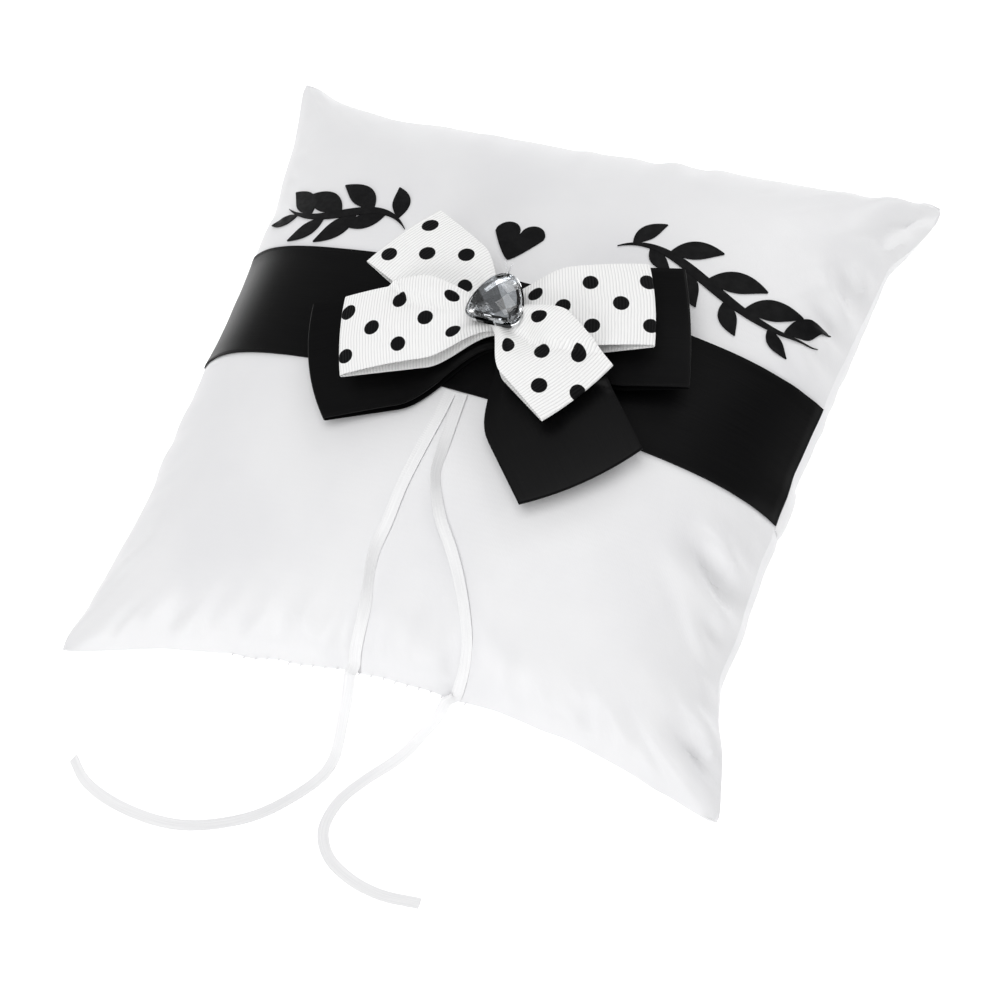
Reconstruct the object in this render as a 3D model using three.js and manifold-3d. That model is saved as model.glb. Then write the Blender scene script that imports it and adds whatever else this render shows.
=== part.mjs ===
// Ring bearer pillow: a stuffed satin cushion with a black ribbon band, a black satin bow under a
// dotted grosgrain bow, a heart gem and two loose ring ribbons. Millimetres, +Z up, +Y towards the
// pillow's top edge, +X to the right. The origin is on the table under the middle of the pillow.
import * as THREE from "three";
import Module from "manifold-3d";
import { mergeVertices } from "three/addons/utils/BufferGeometryUtils.js";

const wasm = await Module();
wasm.setup();

// Pillow
const pillowSide = 200; // corner tip to corner tip
const sidePullIn = 12; // how far stuffing draws in the middle of each side
const seamHeight = 28; // side seam above the table, halfway between two corners
const cornerDroop = 12; // how far a corner tip hangs below the seam's middle
const crownHeight = 30; // top of the front panel above the seam
const bellyDepth = 34; // depth of the back panel below the seam, before the table flattens it
const coverWall = 1.8; // satin cover with its backing
const fillingGap = 0.5;
const seamGap = 0.3; // between the two panels along the seam
const pieceGap = 0.4; // between any two pieces that touch

// Front band and hand strap
const ribbonThickness = 0.5;
const bandWidth = 38;
const bandMiddle = 7; // the band's middle line above the pillow's middle
const bandSlope = -0.045; // the band drops slightly to the right
const bandTop = bandMiddle + bandWidth / 2;
const strapWidth = 16;
const strapMiddle = -9;
const strapLift = 0.2; // clearance of the strap above the table
const strapSlack = 3; // how far the strap loops out beside the seam
const slackPlace = 0.965; // share of the half width where the strap loops out farthest
const slackSpread = 0.025;
const channelMargin = 0.64; // clearance above the strap in its channel
const seamReach = 0.998; // share of the half width where a ribbon dives into the seam

// Bow. Reach is from the middle of the bow to the fold, direction is in degrees from +X
const bowX = 8;
const bowY = 8;
const shankRadius = 1.8;
const rootStart = 2.6; // where the loops' gathered ends start, from the middle of the bow
const rootHalfWidth = 3;
const blackWidth = 38;
const dottedWidth = 25;
const pinchShare = 0.55; // share of the reach over which a loop opens to its full width
const loftPower = 1.6; // how slowly a loop's two plies part near its gathered end
const bowLayers = [
  {
    loft: 2,
    width: blackWidth,
    loops: [
      { name: "black_loop_left", reach: 56, direction: 204 },
      { name: "black_loop_right", reach: 52, direction: 17 },
    ],
  },
  { loft: 2, width: blackWidth, loops: [{ name: "black_loop_lower", reach: 53, direction: -45 }] },
  {
    loft: 4,
    width: dottedWidth,
    loops: [
      { name: "dotted_loop_upper_left", reach: 41, direction: 149 },
      { name: "dotted_loop_right", reach: 43, direction: 20 },
    ],
  },
  {
    loft: 4,
    width: dottedWidth,
    loops: [
      { name: "dotted_loop_left", reach: 45, direction: 200 },
      { name: "dotted_loop_lower", reach: 36, direction: -27 },
    ],
  },
];

// Gem
const gemWidth = 15.5;
const gemCrown = 3.6;
const gemPavilion = 1.6;
const girdleHeight = 0.4; // the stone's upright rim
const gemShares = { back: 0.72, shoulder: 0.78, table: 0.42 }; // widths of its rings
const bowSpreadShare = 0.6; // share of the stone's width over which it rests on the bow
const foilThickness = 0.4;
const foilMargin = 0.4;
const nylonDiameter = 0.4;

// Pressed motifs on the front panel, placed above the band's upper edge
const motifThickness = 0.3;
const stemHalfWidth = 1.5;
const leafBend = 56; // degrees between the stem and a leaf's middle
const leafLean = 38; // degrees between the stem and a leaf's tip
const heartMotif = { x: -2, aboveBand: 16, width: 15, lobes: 4, depth: 9.5 };
// A stem's points are along X and above the band. Each leaf is its place along the stem, the side
// it grows on and its share of the full leaf
const sprigs = {
  motif_sprig_left: {
    stem: [[-36, 11], [-50, 26], [-62, 5], [-79, 18]],
    leafLength: 17,
    leafHalfWidth: 3.6,
    leaves: [
      [0.1, -1, 0.75], [0.2, 1, 0.8], [0.32, -1, 0.95], [0.44, 1, 0.9],
      [0.56, -1, 1], [0.68, 1, 0.75], [0.8, -1, 0.85], [0.9, 1, 0.55],
    ],
  },
  motif_sprig_right: {
    stem: [[26, 20], [42, 32], [62, 2], [86, 11]],
    leafLength: 17,
    leafHalfWidth: 3.6,
    leaves: [
      [0.08, 1, 0.7], [0.18, -1, 0.6], [0.28, 1, 0.9], [0.4, -1, 0.8], [0.5, 1, 1],
      [0.62, -1, 0.7], [0.7, 1, 0.95], [0.82, -1, 0.55], [0.88, 1, 0.75],
    ],
  },
};

// Ring ribbons: modelled as tubes of the ribbon's own width
const ringRibbonWidth = 3.2;
const ringRibbonSteps = 60;
const ringRibbonRoutes = {
  ring_ribbon_left: [
    [-1.8, -12.6, 59.8], [-2.6, -20.2, 59.2], [-4.4, -31.3, 58], [-6.1, -42.4, 56.3],
    [-7, -53.5, 53.8], [-8, -61.1, 51.6], [-7.8, -66.7, 49.6], [-7, -75.5, 45.8],
    [-7.4, -82.2, 41.4], [-8.2, -87.2, 36.4], [-9.2, -90.8, 30], [-10.8, -93.6, 22],
    [-13, -96.8, 13], [-14.8, -100.8, 5.5], [-15.8, -105.6, 2.2], [-17.2, -110.2, 1.8],
    [-21.4, -116.6, 1.7], [-32.4, -127.4, 1.7], [-51.2, -135.2, 1.7], [-70.4, -134.6, 1.7],
    [-83.4, -130, 1.7], [-89.8, -124.2, 1.7],
  ],
  ring_ribbon_right: [
    [1.5, -12.8, 59.8], [1.7, -22.2, 59], [2, -30.6, 58.1], [2.3, -37, 57.2],
    [3.8, -41.4, 56.5], [7.7, -49.2, 54.8], [12.9, -56.2, 52.9], [17.3, -63, 50.6],
    [21.5, -71.3, 47.2], [23.7, -78, 43.6], [23.6, -84, 39.6], [22.2, -88.6, 34.6],
    [19.2, -91.4, 27.4], [15.4, -93.2, 19], [9.8, -95.4, 10.5], [4.6, -98.6, 4.4],
    [-0.2, -103, 2], [-4.4, -107.8, 1.7], [-9.8, -116.6, 1.7], [-10.9, -125.6, 1.7],
    [-7, -132.6, 1.7], [0.8, -137.4, 1.7], [11.4, -140, 1.7], [23.8, -139.6, 1.7],
  ],
};

// Colours, with roughness and metalness
const satinWhite = { color: 0xf1f1f2, roughness: 0.42, metalness: 0 };
const satinBlack = { color: 0x0b0b0c, roughness: 0.38, metalness: 0 };
const grosgrainWhite = { color: 0xf6f6f5, roughness: 0.7, metalness: 0 };
const fillingWhite = { color: 0xfafafa, roughness: 0.95, metalness: 0 };
const pressedBlack = { color: 0x101011, roughness: 0.6, metalness: 0 };
const clearGem = { color: 0xc9ced3, roughness: 0.05, metalness: 0 };
const silverFoil = { color: 0xb9bcc0, roughness: 0.25, metalness: 1 };
const clearNylon = { color: 0xe6e8ea, roughness: 0.2, metalness: 0 };

const bottomFace = -1;
const topFace = 1;
const part = new THREE.Group();

function addPiece(name, geometry, finish) {
  const mesh = new THREE.Mesh(geometry, new THREE.MeshStandardMaterial(finish));
  mesh.name = name;
  part.add(mesh);
}

// A closed body between two grids of points. Each grid is a function of two shares from 0 to 1.
function gridBody(columns, rows, upper, lower) {
  const points = [];
  const corner = [];
  [upper, lower].forEach((place, layer) => {
    corner.push([]);
    for (let i = 0; i <= columns; i += 1) {
      corner[layer].push([]);
      for (let j = 0; j <= rows; j += 1) {
        corner[layer][i].push(points.length / 3);
        points.push(...place(i / columns, j / rows).toArray());
      }
    }
  });
  const faces = [];
  const quad = (a, b, c, d) => faces.push(a, b, c, a, c, d);
  const [over, under] = corner;
  for (let i = 0; i < columns; i += 1) {
    for (let j = 0; j < rows; j += 1) {
      quad(over[i][j], over[i + 1][j], over[i + 1][j + 1], over[i][j + 1]);
      quad(under[i][j + 1], under[i + 1][j + 1], under[i + 1][j], under[i][j]);
    }
  }
  for (let i = 0; i < columns; i += 1) {
    quad(under[i][0], under[i + 1][0], over[i + 1][0], over[i][0]);
    quad(over[i][rows], over[i + 1][rows], under[i + 1][rows], under[i][rows]);
  }
  for (let j = 0; j < rows; j += 1) {
    quad(under[0][j + 1], under[0][j], over[0][j], over[0][j + 1]);
    quad(under[columns][j], under[columns][j + 1], over[columns][j + 1], over[columns][j]);
  }
  const geometry = new THREE.BufferGeometry();
  geometry.setAttribute("position", new THREE.Float32BufferAttribute(points, 3));
  geometry.setIndex(faces);
  return mergeVertices(geometry);
}

function solidOf(geometry) {
  const bare = geometry.clone();
  bare.deleteAttribute("normal");
  bare.deleteAttribute("uv");
  const merged = mergeVertices(bare);
  const vertProperties = new Float32Array(merged.attributes.position.array);
  const triVerts = new Uint32Array(merged.index.array);
  return new wasm.Manifold(new wasm.Mesh({ numProp: 3, vertProperties, triVerts }));
}

function geometryOf(solid) {
  const mesh = solid.getMesh();
  const geometry = new THREE.BufferGeometry();
  geometry.setAttribute("position", new THREE.BufferAttribute(mesh.vertProperties, 3));
  geometry.setIndex(new THREE.BufferAttribute(mesh.triVerts, 1));
  return geometry;
}

// Pillow surface. u and v run from -1 to 1 between the side seams; inset shrinks the surface inwards.
function pillowPoint(u, v, face, inset = 0) {
  const half = pillowSide / 2 - inset;
  const x = u * (half - sidePullIn * (1 - v * v));
  const y = v * (half - sidePullIn * (1 - u * u));
  const seam = seamHeight - cornerDroop * (u * v) ** 2;
  const swell = Math.sqrt(Math.max(0, (1 - u * u) * (1 - v * v)));
  if (face === topFace) {
    return new THREE.Vector3(x, y, seam + (crownHeight - inset) * swell);
  }
  return new THREE.Vector3(x, y, Math.max(inset, seam - (bellyDepth - inset) * swell));
}

const placeRounds = 30;

// Surface place of a plan point, found by a few rounds of correction.
function pillowPlace(x, y) {
  const half = pillowSide / 2;
  let [u, v] = [x / half, y / half];
  for (let round = 0; round < placeRounds; round += 1) {
    u = x / (half - sidePullIn * (1 - v * v));
    v = y / (half - sidePullIn * (1 - u * u));
  }
  return [u, v];
}

// A point that stands off the pillow along its normal.
function offPillow(u, v, face, distance) {
  const step = 1e-4;
  const alongU = pillowPoint(u + step, v, face).sub(pillowPoint(u - step, v, face));
  const alongV = pillowPoint(u, v + step, face).sub(pillowPoint(u, v - step, face));
  const normal = alongU.cross(alongV).normalize().multiplyScalar(face * distance);
  return pillowPoint(u, v, face).add(normal);
}

function pillowTop(x, y) {
  return pillowPoint(...pillowPlace(x, y), topFace).z;
}

// Even steps of a share from 0 to 1, packed closer together towards the two seams.
const towardsSeams = (share) => Math.sin(Math.PI * (share - 0.5));

const panelSteps = 16; // cells across a panel

function panel(face) {
  const shell = (inset) => (i, j) => {
    const point = pillowPoint(towardsSeams(i), towardsSeams(j), face, inset);
    point.z += (face * seamGap) / 2;
    point.z = Math.max(point.z, inset);
    return point;
  };
  const [upper, lower] = face === topFace ? [0, coverWall] : [coverWall, 0];
  return gridBody(panelSteps, panelSteps, shell(upper), shell(lower));
}

// The filling stops just short of the seams and keeps a gap to both panels.
function filling() {
  const reach = 0.98;
  const inset = coverWall + fillingGap;
  const skin = (face) => (i, j) => {
    const point = pillowPoint(reach * towardsSeams(i), reach * towardsSeams(j), face, inset);
    point.z -= face * fillingGap;
    return point;
  };
  return gridBody(panelSteps, panelSteps, skin(topFace), skin(bottomFace));
}

// A ribbon across the pillow from seam to seam. lineAt gives its middle line's height along Y.
function seamToSeam(rows, lineAt, width, lower, upper) {
  const place = (distance) => (i, j) => {
    const u = towardsSeams(i) * seamReach;
    const y = lineAt(u) + (j - 0.5) * width;
    const v = y / (pillowSide / 2 - sidePullIn * (1 - u * u));
    return distance(u, v);
  };
  return gridBody(2 * panelSteps, rows, place(upper), place(lower));
}

function frontBand() {
  const lineAt = (u) => bandMiddle + bandSlope * u * (pillowSide / 2 - sidePullIn);
  const lower = (u, v) => offPillow(u, v, topFace, pieceGap);
  const upper = (u, v) => offPillow(u, v, topFace, pieceGap + ribbonThickness);
  return seamToSeam(3, lineAt, bandWidth, lower, upper);
}

// The strap hangs off the back panel, loops out a little beside each seam and lies in a shallow
// channel where the pillow's own weight flattens the back panel.
function handStrap() {
  const bulge = (u) => strapSlack * Math.exp(-(((Math.abs(u) - slackPlace) / slackSpread) ** 2));
  const hanging = (distance, lowest) => (u, v) => {
    const point = offPillow(u, v, bottomFace, distance + bulge(u));
    point.z = Math.max(point.z, lowest);
    return point;
  };
  const upper = hanging(pieceGap, strapLift + ribbonThickness);
  const lower = hanging(pieceGap + ribbonThickness, strapLift);
  return seamToSeam(2, () => strapMiddle, strapWidth, lower, upper);
}

function backPanel() {
  const depth = strapLift + ribbonThickness + channelMargin;
  const belowTable = 5;
  const channel = new THREE.BoxGeometry(pillowSide, strapWidth + 2 * pieceGap, depth + belowTable);
  channel.translate(0, strapMiddle, (depth - belowTable) / 2);
  return geometryOf(solidOf(panel(bottomFace)).subtract(solidOf(channel)));
}

const clampShare = (share) => Math.min(1, Math.max(0, share));
const smooth = (share) => share * share * (3 - 2 * share);

// Height between the two plies of a loop: shut at the middle of the bow, widest halfway out.
function loopOpening(layer, radius) {
  const reach = Math.max(...layer.loops.map((loop) => loop.reach));
  return pieceGap + layer.loft * Math.sin(Math.PI * clampShare(radius / reach)) ** loftPower;
}

// Height of a layer's lowest ply above the pillow, the layers below it stacked under it.
function layerFloor(index, radius) {
  let height = pieceGap + ribbonThickness + pieceGap;
  for (const layer of bowLayers.slice(0, index)) {
    height += loopOpening(layer, radius) + 2 * ribbonThickness + pieceGap;
  }
  return height;
}

const plySteps = 8; // cells along one ply of a loop

// One loop: a strip of ribbon that runs out from the bow's middle, folds over and comes back.
function bowLoop(index, loop) {
  const layer = bowLayers[index];
  const angle = THREE.MathUtils.degToRad(loop.direction);
  const halfWidth = (r) => {
    const opened = smooth(clampShare((r - rootStart) / (pinchShare * loop.reach)));
    return rootHalfWidth + (layer.width / 2 - rootHalfWidth) * opened;
  };
  const place = (outer) => (i, j) => {
    const step = Math.round(i * (2 * plySteps + 1));
    const onTop = step > plySteps;
    const along = (onTop ? 2 * plySteps + 1 - step : step) / plySteps;
    const end = loop.reach - (outer ? 0 : ribbonThickness);
    const r = rootStart + (end - rootStart) * along;
    const across = (1 - 2 * j) * halfWidth(r);
    const x = bowX + r * Math.cos(angle) - across * Math.sin(angle);
    const y = bowY + r * Math.sin(angle) + across * Math.cos(angle);
    const radius = Math.hypot(r, across);
    const plyTop = onTop ? ribbonThickness + loopOpening(layer, radius) : 0;
    const inPly = outer === onTop ? ribbonThickness : 0;
    return new THREE.Vector3(x, y, pillowTop(x, y) + layerFloor(index, radius) + plyTop + inPly);
  };
  return gridBody(2 * plySteps + 1, 4, place(true), place(false));
}

// Height at which the gem's foil back clears every loop under it.
const gemFloor =
  pillowTop(bowX, bowY) + layerFloor(bowLayers.length, bowSpreadShare * gemWidth + foilMargin) + pieceGap;

function shank() {
  const bottom = pillowTop(bowX, bowY) + 2 * pieceGap + ribbonThickness;
  const height = gemFloor - pieceGap - bottom;
  const post = new THREE.CylinderGeometry(shankRadius, shankRadius, height, 16);
  return post.rotateX(Math.PI / 2).translate(bowX, bowY, bottom + height / 2);
}

const outlineSteps = 24;

// Plump heart outline with a shallow notch, point towards +Y, as wide as asked. The curve itself
// is 32 units wide.
function heartOutline(width) {
  const points = [];
  for (let i = 0; i < outlineSteps; i += 1) {
    const t = (2 * Math.PI * i) / outlineSteps;
    const x = 15.7 * (Math.sin(t) + 0.1 * Math.sin(2 * t));
    const y = 16.3 * Math.cos(t) - 2.6 * Math.cos(2 * t) - 0.7 * Math.cos(3 * t);
    points.push(new THREE.Vector2(x, -y - 2.6).multiplyScalar(width / 32));
  }
  return points;
}

// Flat-ended body through scaled copies of an outline, from the lowest ring to the highest.
function stackedOutline(outline, rings) {
  const at = (k) => (index) => {
    const point = outline[index % outline.length];
    return new THREE.Vector3(point.x * rings[k][0], point.y * rings[k][0], rings[k][1]);
  };
  const faces = [];
  const triangle = (a, b, c) => faces.push(...a.toArray(), ...b.toArray(), ...c.toArray());
  const middle = (k) => new THREE.Vector3(0, 0, rings[k][1]);
  const last = rings.length - 1;
  for (let i = 0; i < outline.length; i += 1) {
    triangle(middle(0), at(0)(i + 1), at(0)(i));
    triangle(middle(last), at(last)(i), at(last)(i + 1));
    for (let k = 0; k < last; k += 1) {
      triangle(at(k)(i), at(k)(i + 1), at(k + 1)(i + 1));
      triangle(at(k)(i), at(k + 1)(i + 1), at(k + 1)(i));
    }
  }
  const geometry = new THREE.BufferGeometry();
  geometry.setAttribute("position", new THREE.Float32BufferAttribute(faces, 3));
  return mergeVertices(geometry);
}

function heartGem() {
  const girdle = gemPavilion + girdleHeight;
  return stackedOutline(heartOutline(gemWidth), [
    [gemShares.back, 0],
    [1, gemPavilion],
    [1, girdle],
    [gemShares.shoulder, girdle + 0.6 * (gemCrown - girdle)],
    [gemShares.table, gemCrown],
  ]);
}

function foilBack() {
  const outline = heartOutline(gemWidth + 2 * foilMargin);
  return stackedOutline(outline, [[1, 0], [1, foilThickness]]);
}

// The nylon's knot end: it stands out past the gem's point.
function nylonTack() {
  const foilTip = Math.max(...heartOutline(gemWidth + 2 * foilMargin).map((point) => point.y));
  const tipY = bowY + foilTip + pieceGap + nylonDiameter / 2;
  const route = new THREE.QuadraticBezierCurve3(
    new THREE.Vector3(bowX, tipY, gemFloor + foilThickness),
    new THREE.Vector3(bowX - 0.5, tipY + 2, gemFloor + 4),
    new THREE.Vector3(bowX - 2, tipY + 5, gemFloor + 6),
  );
  return tube(route, nylonDiameter, 6, 6);
}

function tube(route, diameter, sides, steps) {
  const section = new THREE.Shape();
  for (let i = 0; i < sides; i += 1) {
    const t = (2 * Math.PI * i) / sides;
    const x = (diameter / 2) * Math.cos(t);
    const y = (diameter / 2) * Math.sin(t);
    if (i === 0) section.moveTo(x, y);
    else section.lineTo(x, y);
  }
  return new THREE.ExtrudeGeometry(section, { steps, extrudePath: route, bevelEnabled: false });
}

function ringRibbon(points) {
  const route = new THREE.CatmullRomCurve3(
    points.map(([x, y, z]) => new THREE.Vector3(x, y, z)),
    false,
    "centripetal",
  );
  return tube(route, ringRibbonWidth, 8, ringRibbonSteps);
}

// A thin body pressed on the front panel. outlineAt maps two shares to a plan point.
function pressed(columns, rows, outlineAt) {
  const place = (distance) => (i, j) => {
    const { x, y } = outlineAt(i, j);
    return offPillow(...pillowPlace(x, y), topFace, distance);
  };
  return gridBody(columns, rows, place(pieceGap + motifThickness), place(pieceGap));
}

// A curved stroke with pointed ends: halfWidth is its half width in the middle.
function stroke(route, halfWidth, columns, rows) {
  const pointed = 0.12;
  return pressed(columns, rows, (i, j) => {
    const point = route.getPoint(i);
    const tangent = route.getTangent(i);
    const swell = halfWidth * (pointed + (1 - pointed) * Math.sin(Math.PI * i));
    const across = (2 * j - 1) * swell;
    return { x: point.x - across * tangent.y, y: point.y + across * tangent.x };
  });
}

// A leaf sprig: a curved stem with leaves on alternate sides and one at its tip.
function sprig({ stem, leaves, leafLength, leafHalfWidth }) {
  const points = stem.map(([x, aboveBand]) => new THREE.Vector2(x, bandTop + aboveBand));
  const route = new THREE.CubicBezierCurve(...points);
  let solid = solidOf(stroke(route, stemHalfWidth, 18, 1));
  leaves.forEach(([share, side, scale]) => {
    const root = route.getPoint(share);
    const tangent = route.getTangent(share);
    const turned = (degrees) =>
      tangent.clone().rotateAround(new THREE.Vector2(), THREE.MathUtils.degToRad(side * degrees));
    const bend = root.clone().addScaledVector(turned(leafBend), 0.5 * scale * leafLength);
    const tip = root.clone().addScaledVector(turned(leafLean), scale * leafLength);
    const leaf = new THREE.QuadraticBezierCurve(root, bend, tip);
    solid = solid.add(solidOf(stroke(leaf, scale * leafHalfWidth, 6, 1)));
  });
  return geometryOf(solid);
}

// A small solid heart: two round lobes over a point, cut off where its sides would thin out.
function pressedHeart({ x, aboveBand, width, lobes, depth }) {
  return pressed(14, 3, (i, j) => {
    const share = 0.985 * Math.sin(Math.PI * (i - 0.5));
    const lobe = lobes * Math.sqrt(1 - (2 * Math.abs(share) - 1) ** 2);
    const point = -depth * (1 - Math.abs(share) ** 1.3);
    return { x: x + (share * width) / 2, y: bandTop + aboveBand + point + j * (lobe - point) };
  });
}

addPiece("back_panel", backPanel(), satinWhite);
addPiece("fibre_filling", filling(), fillingWhite);
addPiece("front_panel", panel(topFace), satinWhite);
addPiece("hand_strap", handStrap(), satinWhite);
addPiece("front_band", frontBand(), satinBlack);
bowLayers.forEach((layer, index) => {
  const finish = layer.width === blackWidth ? satinBlack : grosgrainWhite;
  layer.loops.forEach((loop) => addPiece(loop.name, bowLoop(index, loop), finish));
});
addPiece("thread_shank", shank(), clearNylon);
addPiece("gem_foil", foilBack().translate(bowX, bowY, gemFloor), silverFoil);
addPiece("heart_gem", heartGem().translate(bowX, bowY, gemFloor + foilThickness + pieceGap), clearGem);
addPiece("nylon_tack", nylonTack(), clearNylon);
Object.entries(ringRibbonRoutes).forEach(([name, points]) => {
  addPiece(name, ringRibbon(points), satinWhite);
});
Object.entries(sprigs).forEach(([name, sizes]) => addPiece(name, sprig(sizes), pressedBlack));
addPiece("motif_heart", pressedHeart(heartMotif), pressedBlack);

export default part;
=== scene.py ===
"""Visual model of a ring bearer pillow: a stuffed satin cushion with a black ribbon band, a black satin bow under a
dotted grosgrain bow, a heart gem and two loose ring ribbons.

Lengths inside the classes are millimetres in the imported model's own frame. Meshes are written in metres.
"""

import logging
import math
from collections.abc import Callable, Sequence
from dataclasses import dataclass, field
from enum import Enum

import bmesh
import bpy
import numpy as np
from mathutils import Matrix, Vector


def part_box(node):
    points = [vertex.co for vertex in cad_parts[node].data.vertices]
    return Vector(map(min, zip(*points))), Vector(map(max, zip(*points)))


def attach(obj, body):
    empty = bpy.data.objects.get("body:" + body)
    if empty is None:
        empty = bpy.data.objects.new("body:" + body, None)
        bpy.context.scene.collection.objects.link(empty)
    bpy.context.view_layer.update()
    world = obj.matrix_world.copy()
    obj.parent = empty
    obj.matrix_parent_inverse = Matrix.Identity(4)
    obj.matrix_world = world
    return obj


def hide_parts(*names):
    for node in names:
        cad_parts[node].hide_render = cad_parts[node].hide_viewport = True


MM = 0.001
BODY = "root"
UV_PER_MM = 0.01
CREASE = math.radians(50.0)
UPWARDS = np.array([0.0, 0.0, 1.0])
OFF_AXIS = np.array([0.31, 0.17, 0.93])
SATIN_THREADS = 2400.0
FULL_TURN = 6.283
SEAM_REACH = 0.999
PAST_PRINT = 100.0
LOG = logging.getLogger("ring_pillow")

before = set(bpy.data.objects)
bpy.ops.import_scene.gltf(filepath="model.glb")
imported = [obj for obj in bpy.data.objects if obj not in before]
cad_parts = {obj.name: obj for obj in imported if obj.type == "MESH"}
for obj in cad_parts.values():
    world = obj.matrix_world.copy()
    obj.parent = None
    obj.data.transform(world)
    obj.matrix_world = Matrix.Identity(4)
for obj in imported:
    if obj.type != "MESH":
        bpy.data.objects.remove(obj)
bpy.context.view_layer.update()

Grid = np.ndarray
Quad = tuple[int, ...]
Color = tuple[float, float, float, float]


# ---------------------------------------------------------------------------------------------------------------
# Shapes from grids of points
# ---------------------------------------------------------------------------------------------------------------


def smooth_step(share: np.ndarray | float) -> np.ndarray | float:
    """Ease a share from 0 to 1, flat at both ends."""
    held = np.clip(share, 0.0, 1.0)
    return held * held * (3.0 - 2.0 * held)


def grid_normals(points: Grid) -> Grid:
    """Unit normals of a grid of points, on the side where its two directions turn anticlockwise."""
    along = np.gradient(points, axis=0)
    across = np.gradient(points, axis=1)
    normal = np.cross(along, across)
    length = np.linalg.norm(normal, axis=-1, keepdims=True)
    return normal / np.maximum(length, 1e-9)


def index_faces(index: np.ndarray, turned: bool = False) -> list[Quad]:
    """Quads over a grid of point indices, turned to face the other way where asked."""
    corners = [index[:-1, :-1], index[1:, :-1], index[1:, 1:], index[:-1, 1:]]
    if turned:
        corners.reverse()
    return list(zip(*(part.ravel().tolist() for part in corners)))


def grid_faces(columns: int, rows: int, start: int = 0, turned: bool = False) -> list[Quad]:
    """Quads of a grid of (columns + 1) by (rows + 1) points.

    Args:
        columns: cells along the first direction.
        rows: cells along the second direction.
        start: index of the grid's first point.
        turned: True to face the other way.

    Returns:
        Four point indices for each cell.
    """
    index = start + np.arange((columns + 1) * (rows + 1)).reshape(columns + 1, rows + 1)
    return index_faces(index, turned)


def shell_faces(columns: int, rows: int, start: int = 0) -> list[Quad]:
    """Quads of an upper grid, of the turned grid whose points follow it, and of the rim between them."""
    gap = (columns + 1) * (rows + 1)
    index = start + np.arange(gap).reshape(columns + 1, rows + 1)
    rim = np.concatenate([index[:, 0], index[-1, 1:], index[-2::-1, -1], index[0, -2:0:-1]]).tolist()
    faces = grid_faces(columns, rows, start) + grid_faces(columns, rows, start + gap, turned=True)
    return faces + [(a, a + gap, b + gap, b) for a, b in zip(rim, rim[1:] + rim[:1])]


def ring_faces(rings: int, sides: int) -> list[Quad]:
    """Faces of a closed tube of rings, each of so many points, with a cap on either end."""
    faces: list[Quad] = []
    for first in range(0, (rings - 1) * sides, sides):
        for k in range(sides):
            a, b = first + k, first + (k + 1) % sides
            faces.append((a, a + sides, b + sides, b))
    last = rings * sides - 1
    return faces + [tuple(range(sides)), tuple(range(last, last - sides, -1))]


def mesh_object(name: str, points: np.ndarray, faces: Sequence[Quad], uv: np.ndarray | None = None) -> bpy.types.Object:
    """Make a smooth-shaded object at the origin.

    Args:
        name: the piece's name.
        points: point places in millimetres.
        faces: point indices of each face.
        uv: a ribbon place for each point, in millimetres along and across, or None.

    Returns:
        The object, linked to the scene.
    """
    mesh = bpy.data.meshes.new(name)
    mesh.from_pydata((points.reshape(-1, 3) * MM).tolist(), [], list(faces))
    mesh.polygons.foreach_set("use_smooth", [True] * len(mesh.polygons))
    if uv is not None:
        layer = mesh.uv_layers.new(name="ribbon")
        corner = np.empty(len(mesh.loops), dtype=np.int32)
        mesh.loops.foreach_get("vertex_index", corner)
        layer.data.foreach_set("uv", (uv.reshape(-1, 2)[corner] * UV_PER_MM).ravel().tolist())
    mesh.validate()
    mesh.set_sharp_from_angle(angle=CREASE)
    return linked(name, mesh)


def linked(name: str, data: bpy.types.ID) -> bpy.types.Object:
    """Make an object for a mesh, a light or a camera and link it to the scene."""
    made = bpy.data.objects.new(name, data)
    bpy.context.scene.collection.objects.link(made)
    return made


def flat_square(name: str, reach: float) -> bpy.types.Object:
    """Make a level square at height zero, reach millimetres from its middle to each side."""
    corners = np.array([[-reach, -reach, 0], [reach, -reach, 0], [reach, reach, 0], [-reach, reach, 0]])
    return mesh_object(name, corners, [(0, 1, 2, 3)])


def layered_object(name: str, upper: Grid, lower: Grid, uv: np.ndarray | None = None) -> bpy.types.Object:
    """Make a closed piece between two grids of points, the upper one facing along its normals."""
    points = np.concatenate([upper.reshape(-1, 3), lower.reshape(-1, 3)])
    return mesh_object(name, points, shell_faces(upper.shape[0] - 1, upper.shape[1] - 1), uv)


def shell_object(
    name: str, middle: Grid, thickness: float, uv: Grid, under_shift: float = 0.0
) -> bpy.types.Object:
    """Make a closed ribbon of even thickness from the grid of its middle surface.

    Args:
        name: the piece's name.
        middle: grid of points in millimetres.
        thickness: in millimetres.
        uv: grid of ribbon places.
        under_shift: how far across the under side's places lie, past any print.

    Returns:
        The object, its outer side towards the grid's normals.
    """
    offset = grid_normals(middle) * thickness / 2
    both = np.concatenate([uv.reshape(-1, 2), uv.reshape(-1, 2) + [0.0, under_shift]])
    return layered_object(name, middle + offset, middle - offset, both)


def ribbon_places(points: Grid, across: Grid) -> Grid:
    """Ribbon places of a grid of points: millimetres along each of its lines, and across."""
    travelled = np.cumsum(np.linalg.norm(np.diff(points, axis=0), axis=-1), axis=0)
    return np.stack([np.vstack([np.zeros((1, points.shape[1])), travelled]), across], axis=-1)


def distances(line: np.ndarray) -> np.ndarray:
    """Distance along a line of points, at each of them."""
    return np.concatenate([[0.0], np.cumsum(np.linalg.norm(np.diff(line, axis=0), axis=1))])


def directions(line: np.ndarray) -> np.ndarray:
    """Unit direction of a line of points, at each of them."""
    tangent = np.gradient(line, axis=0)
    return tangent / np.linalg.norm(tangent, axis=1, keepdims=True)


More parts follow.
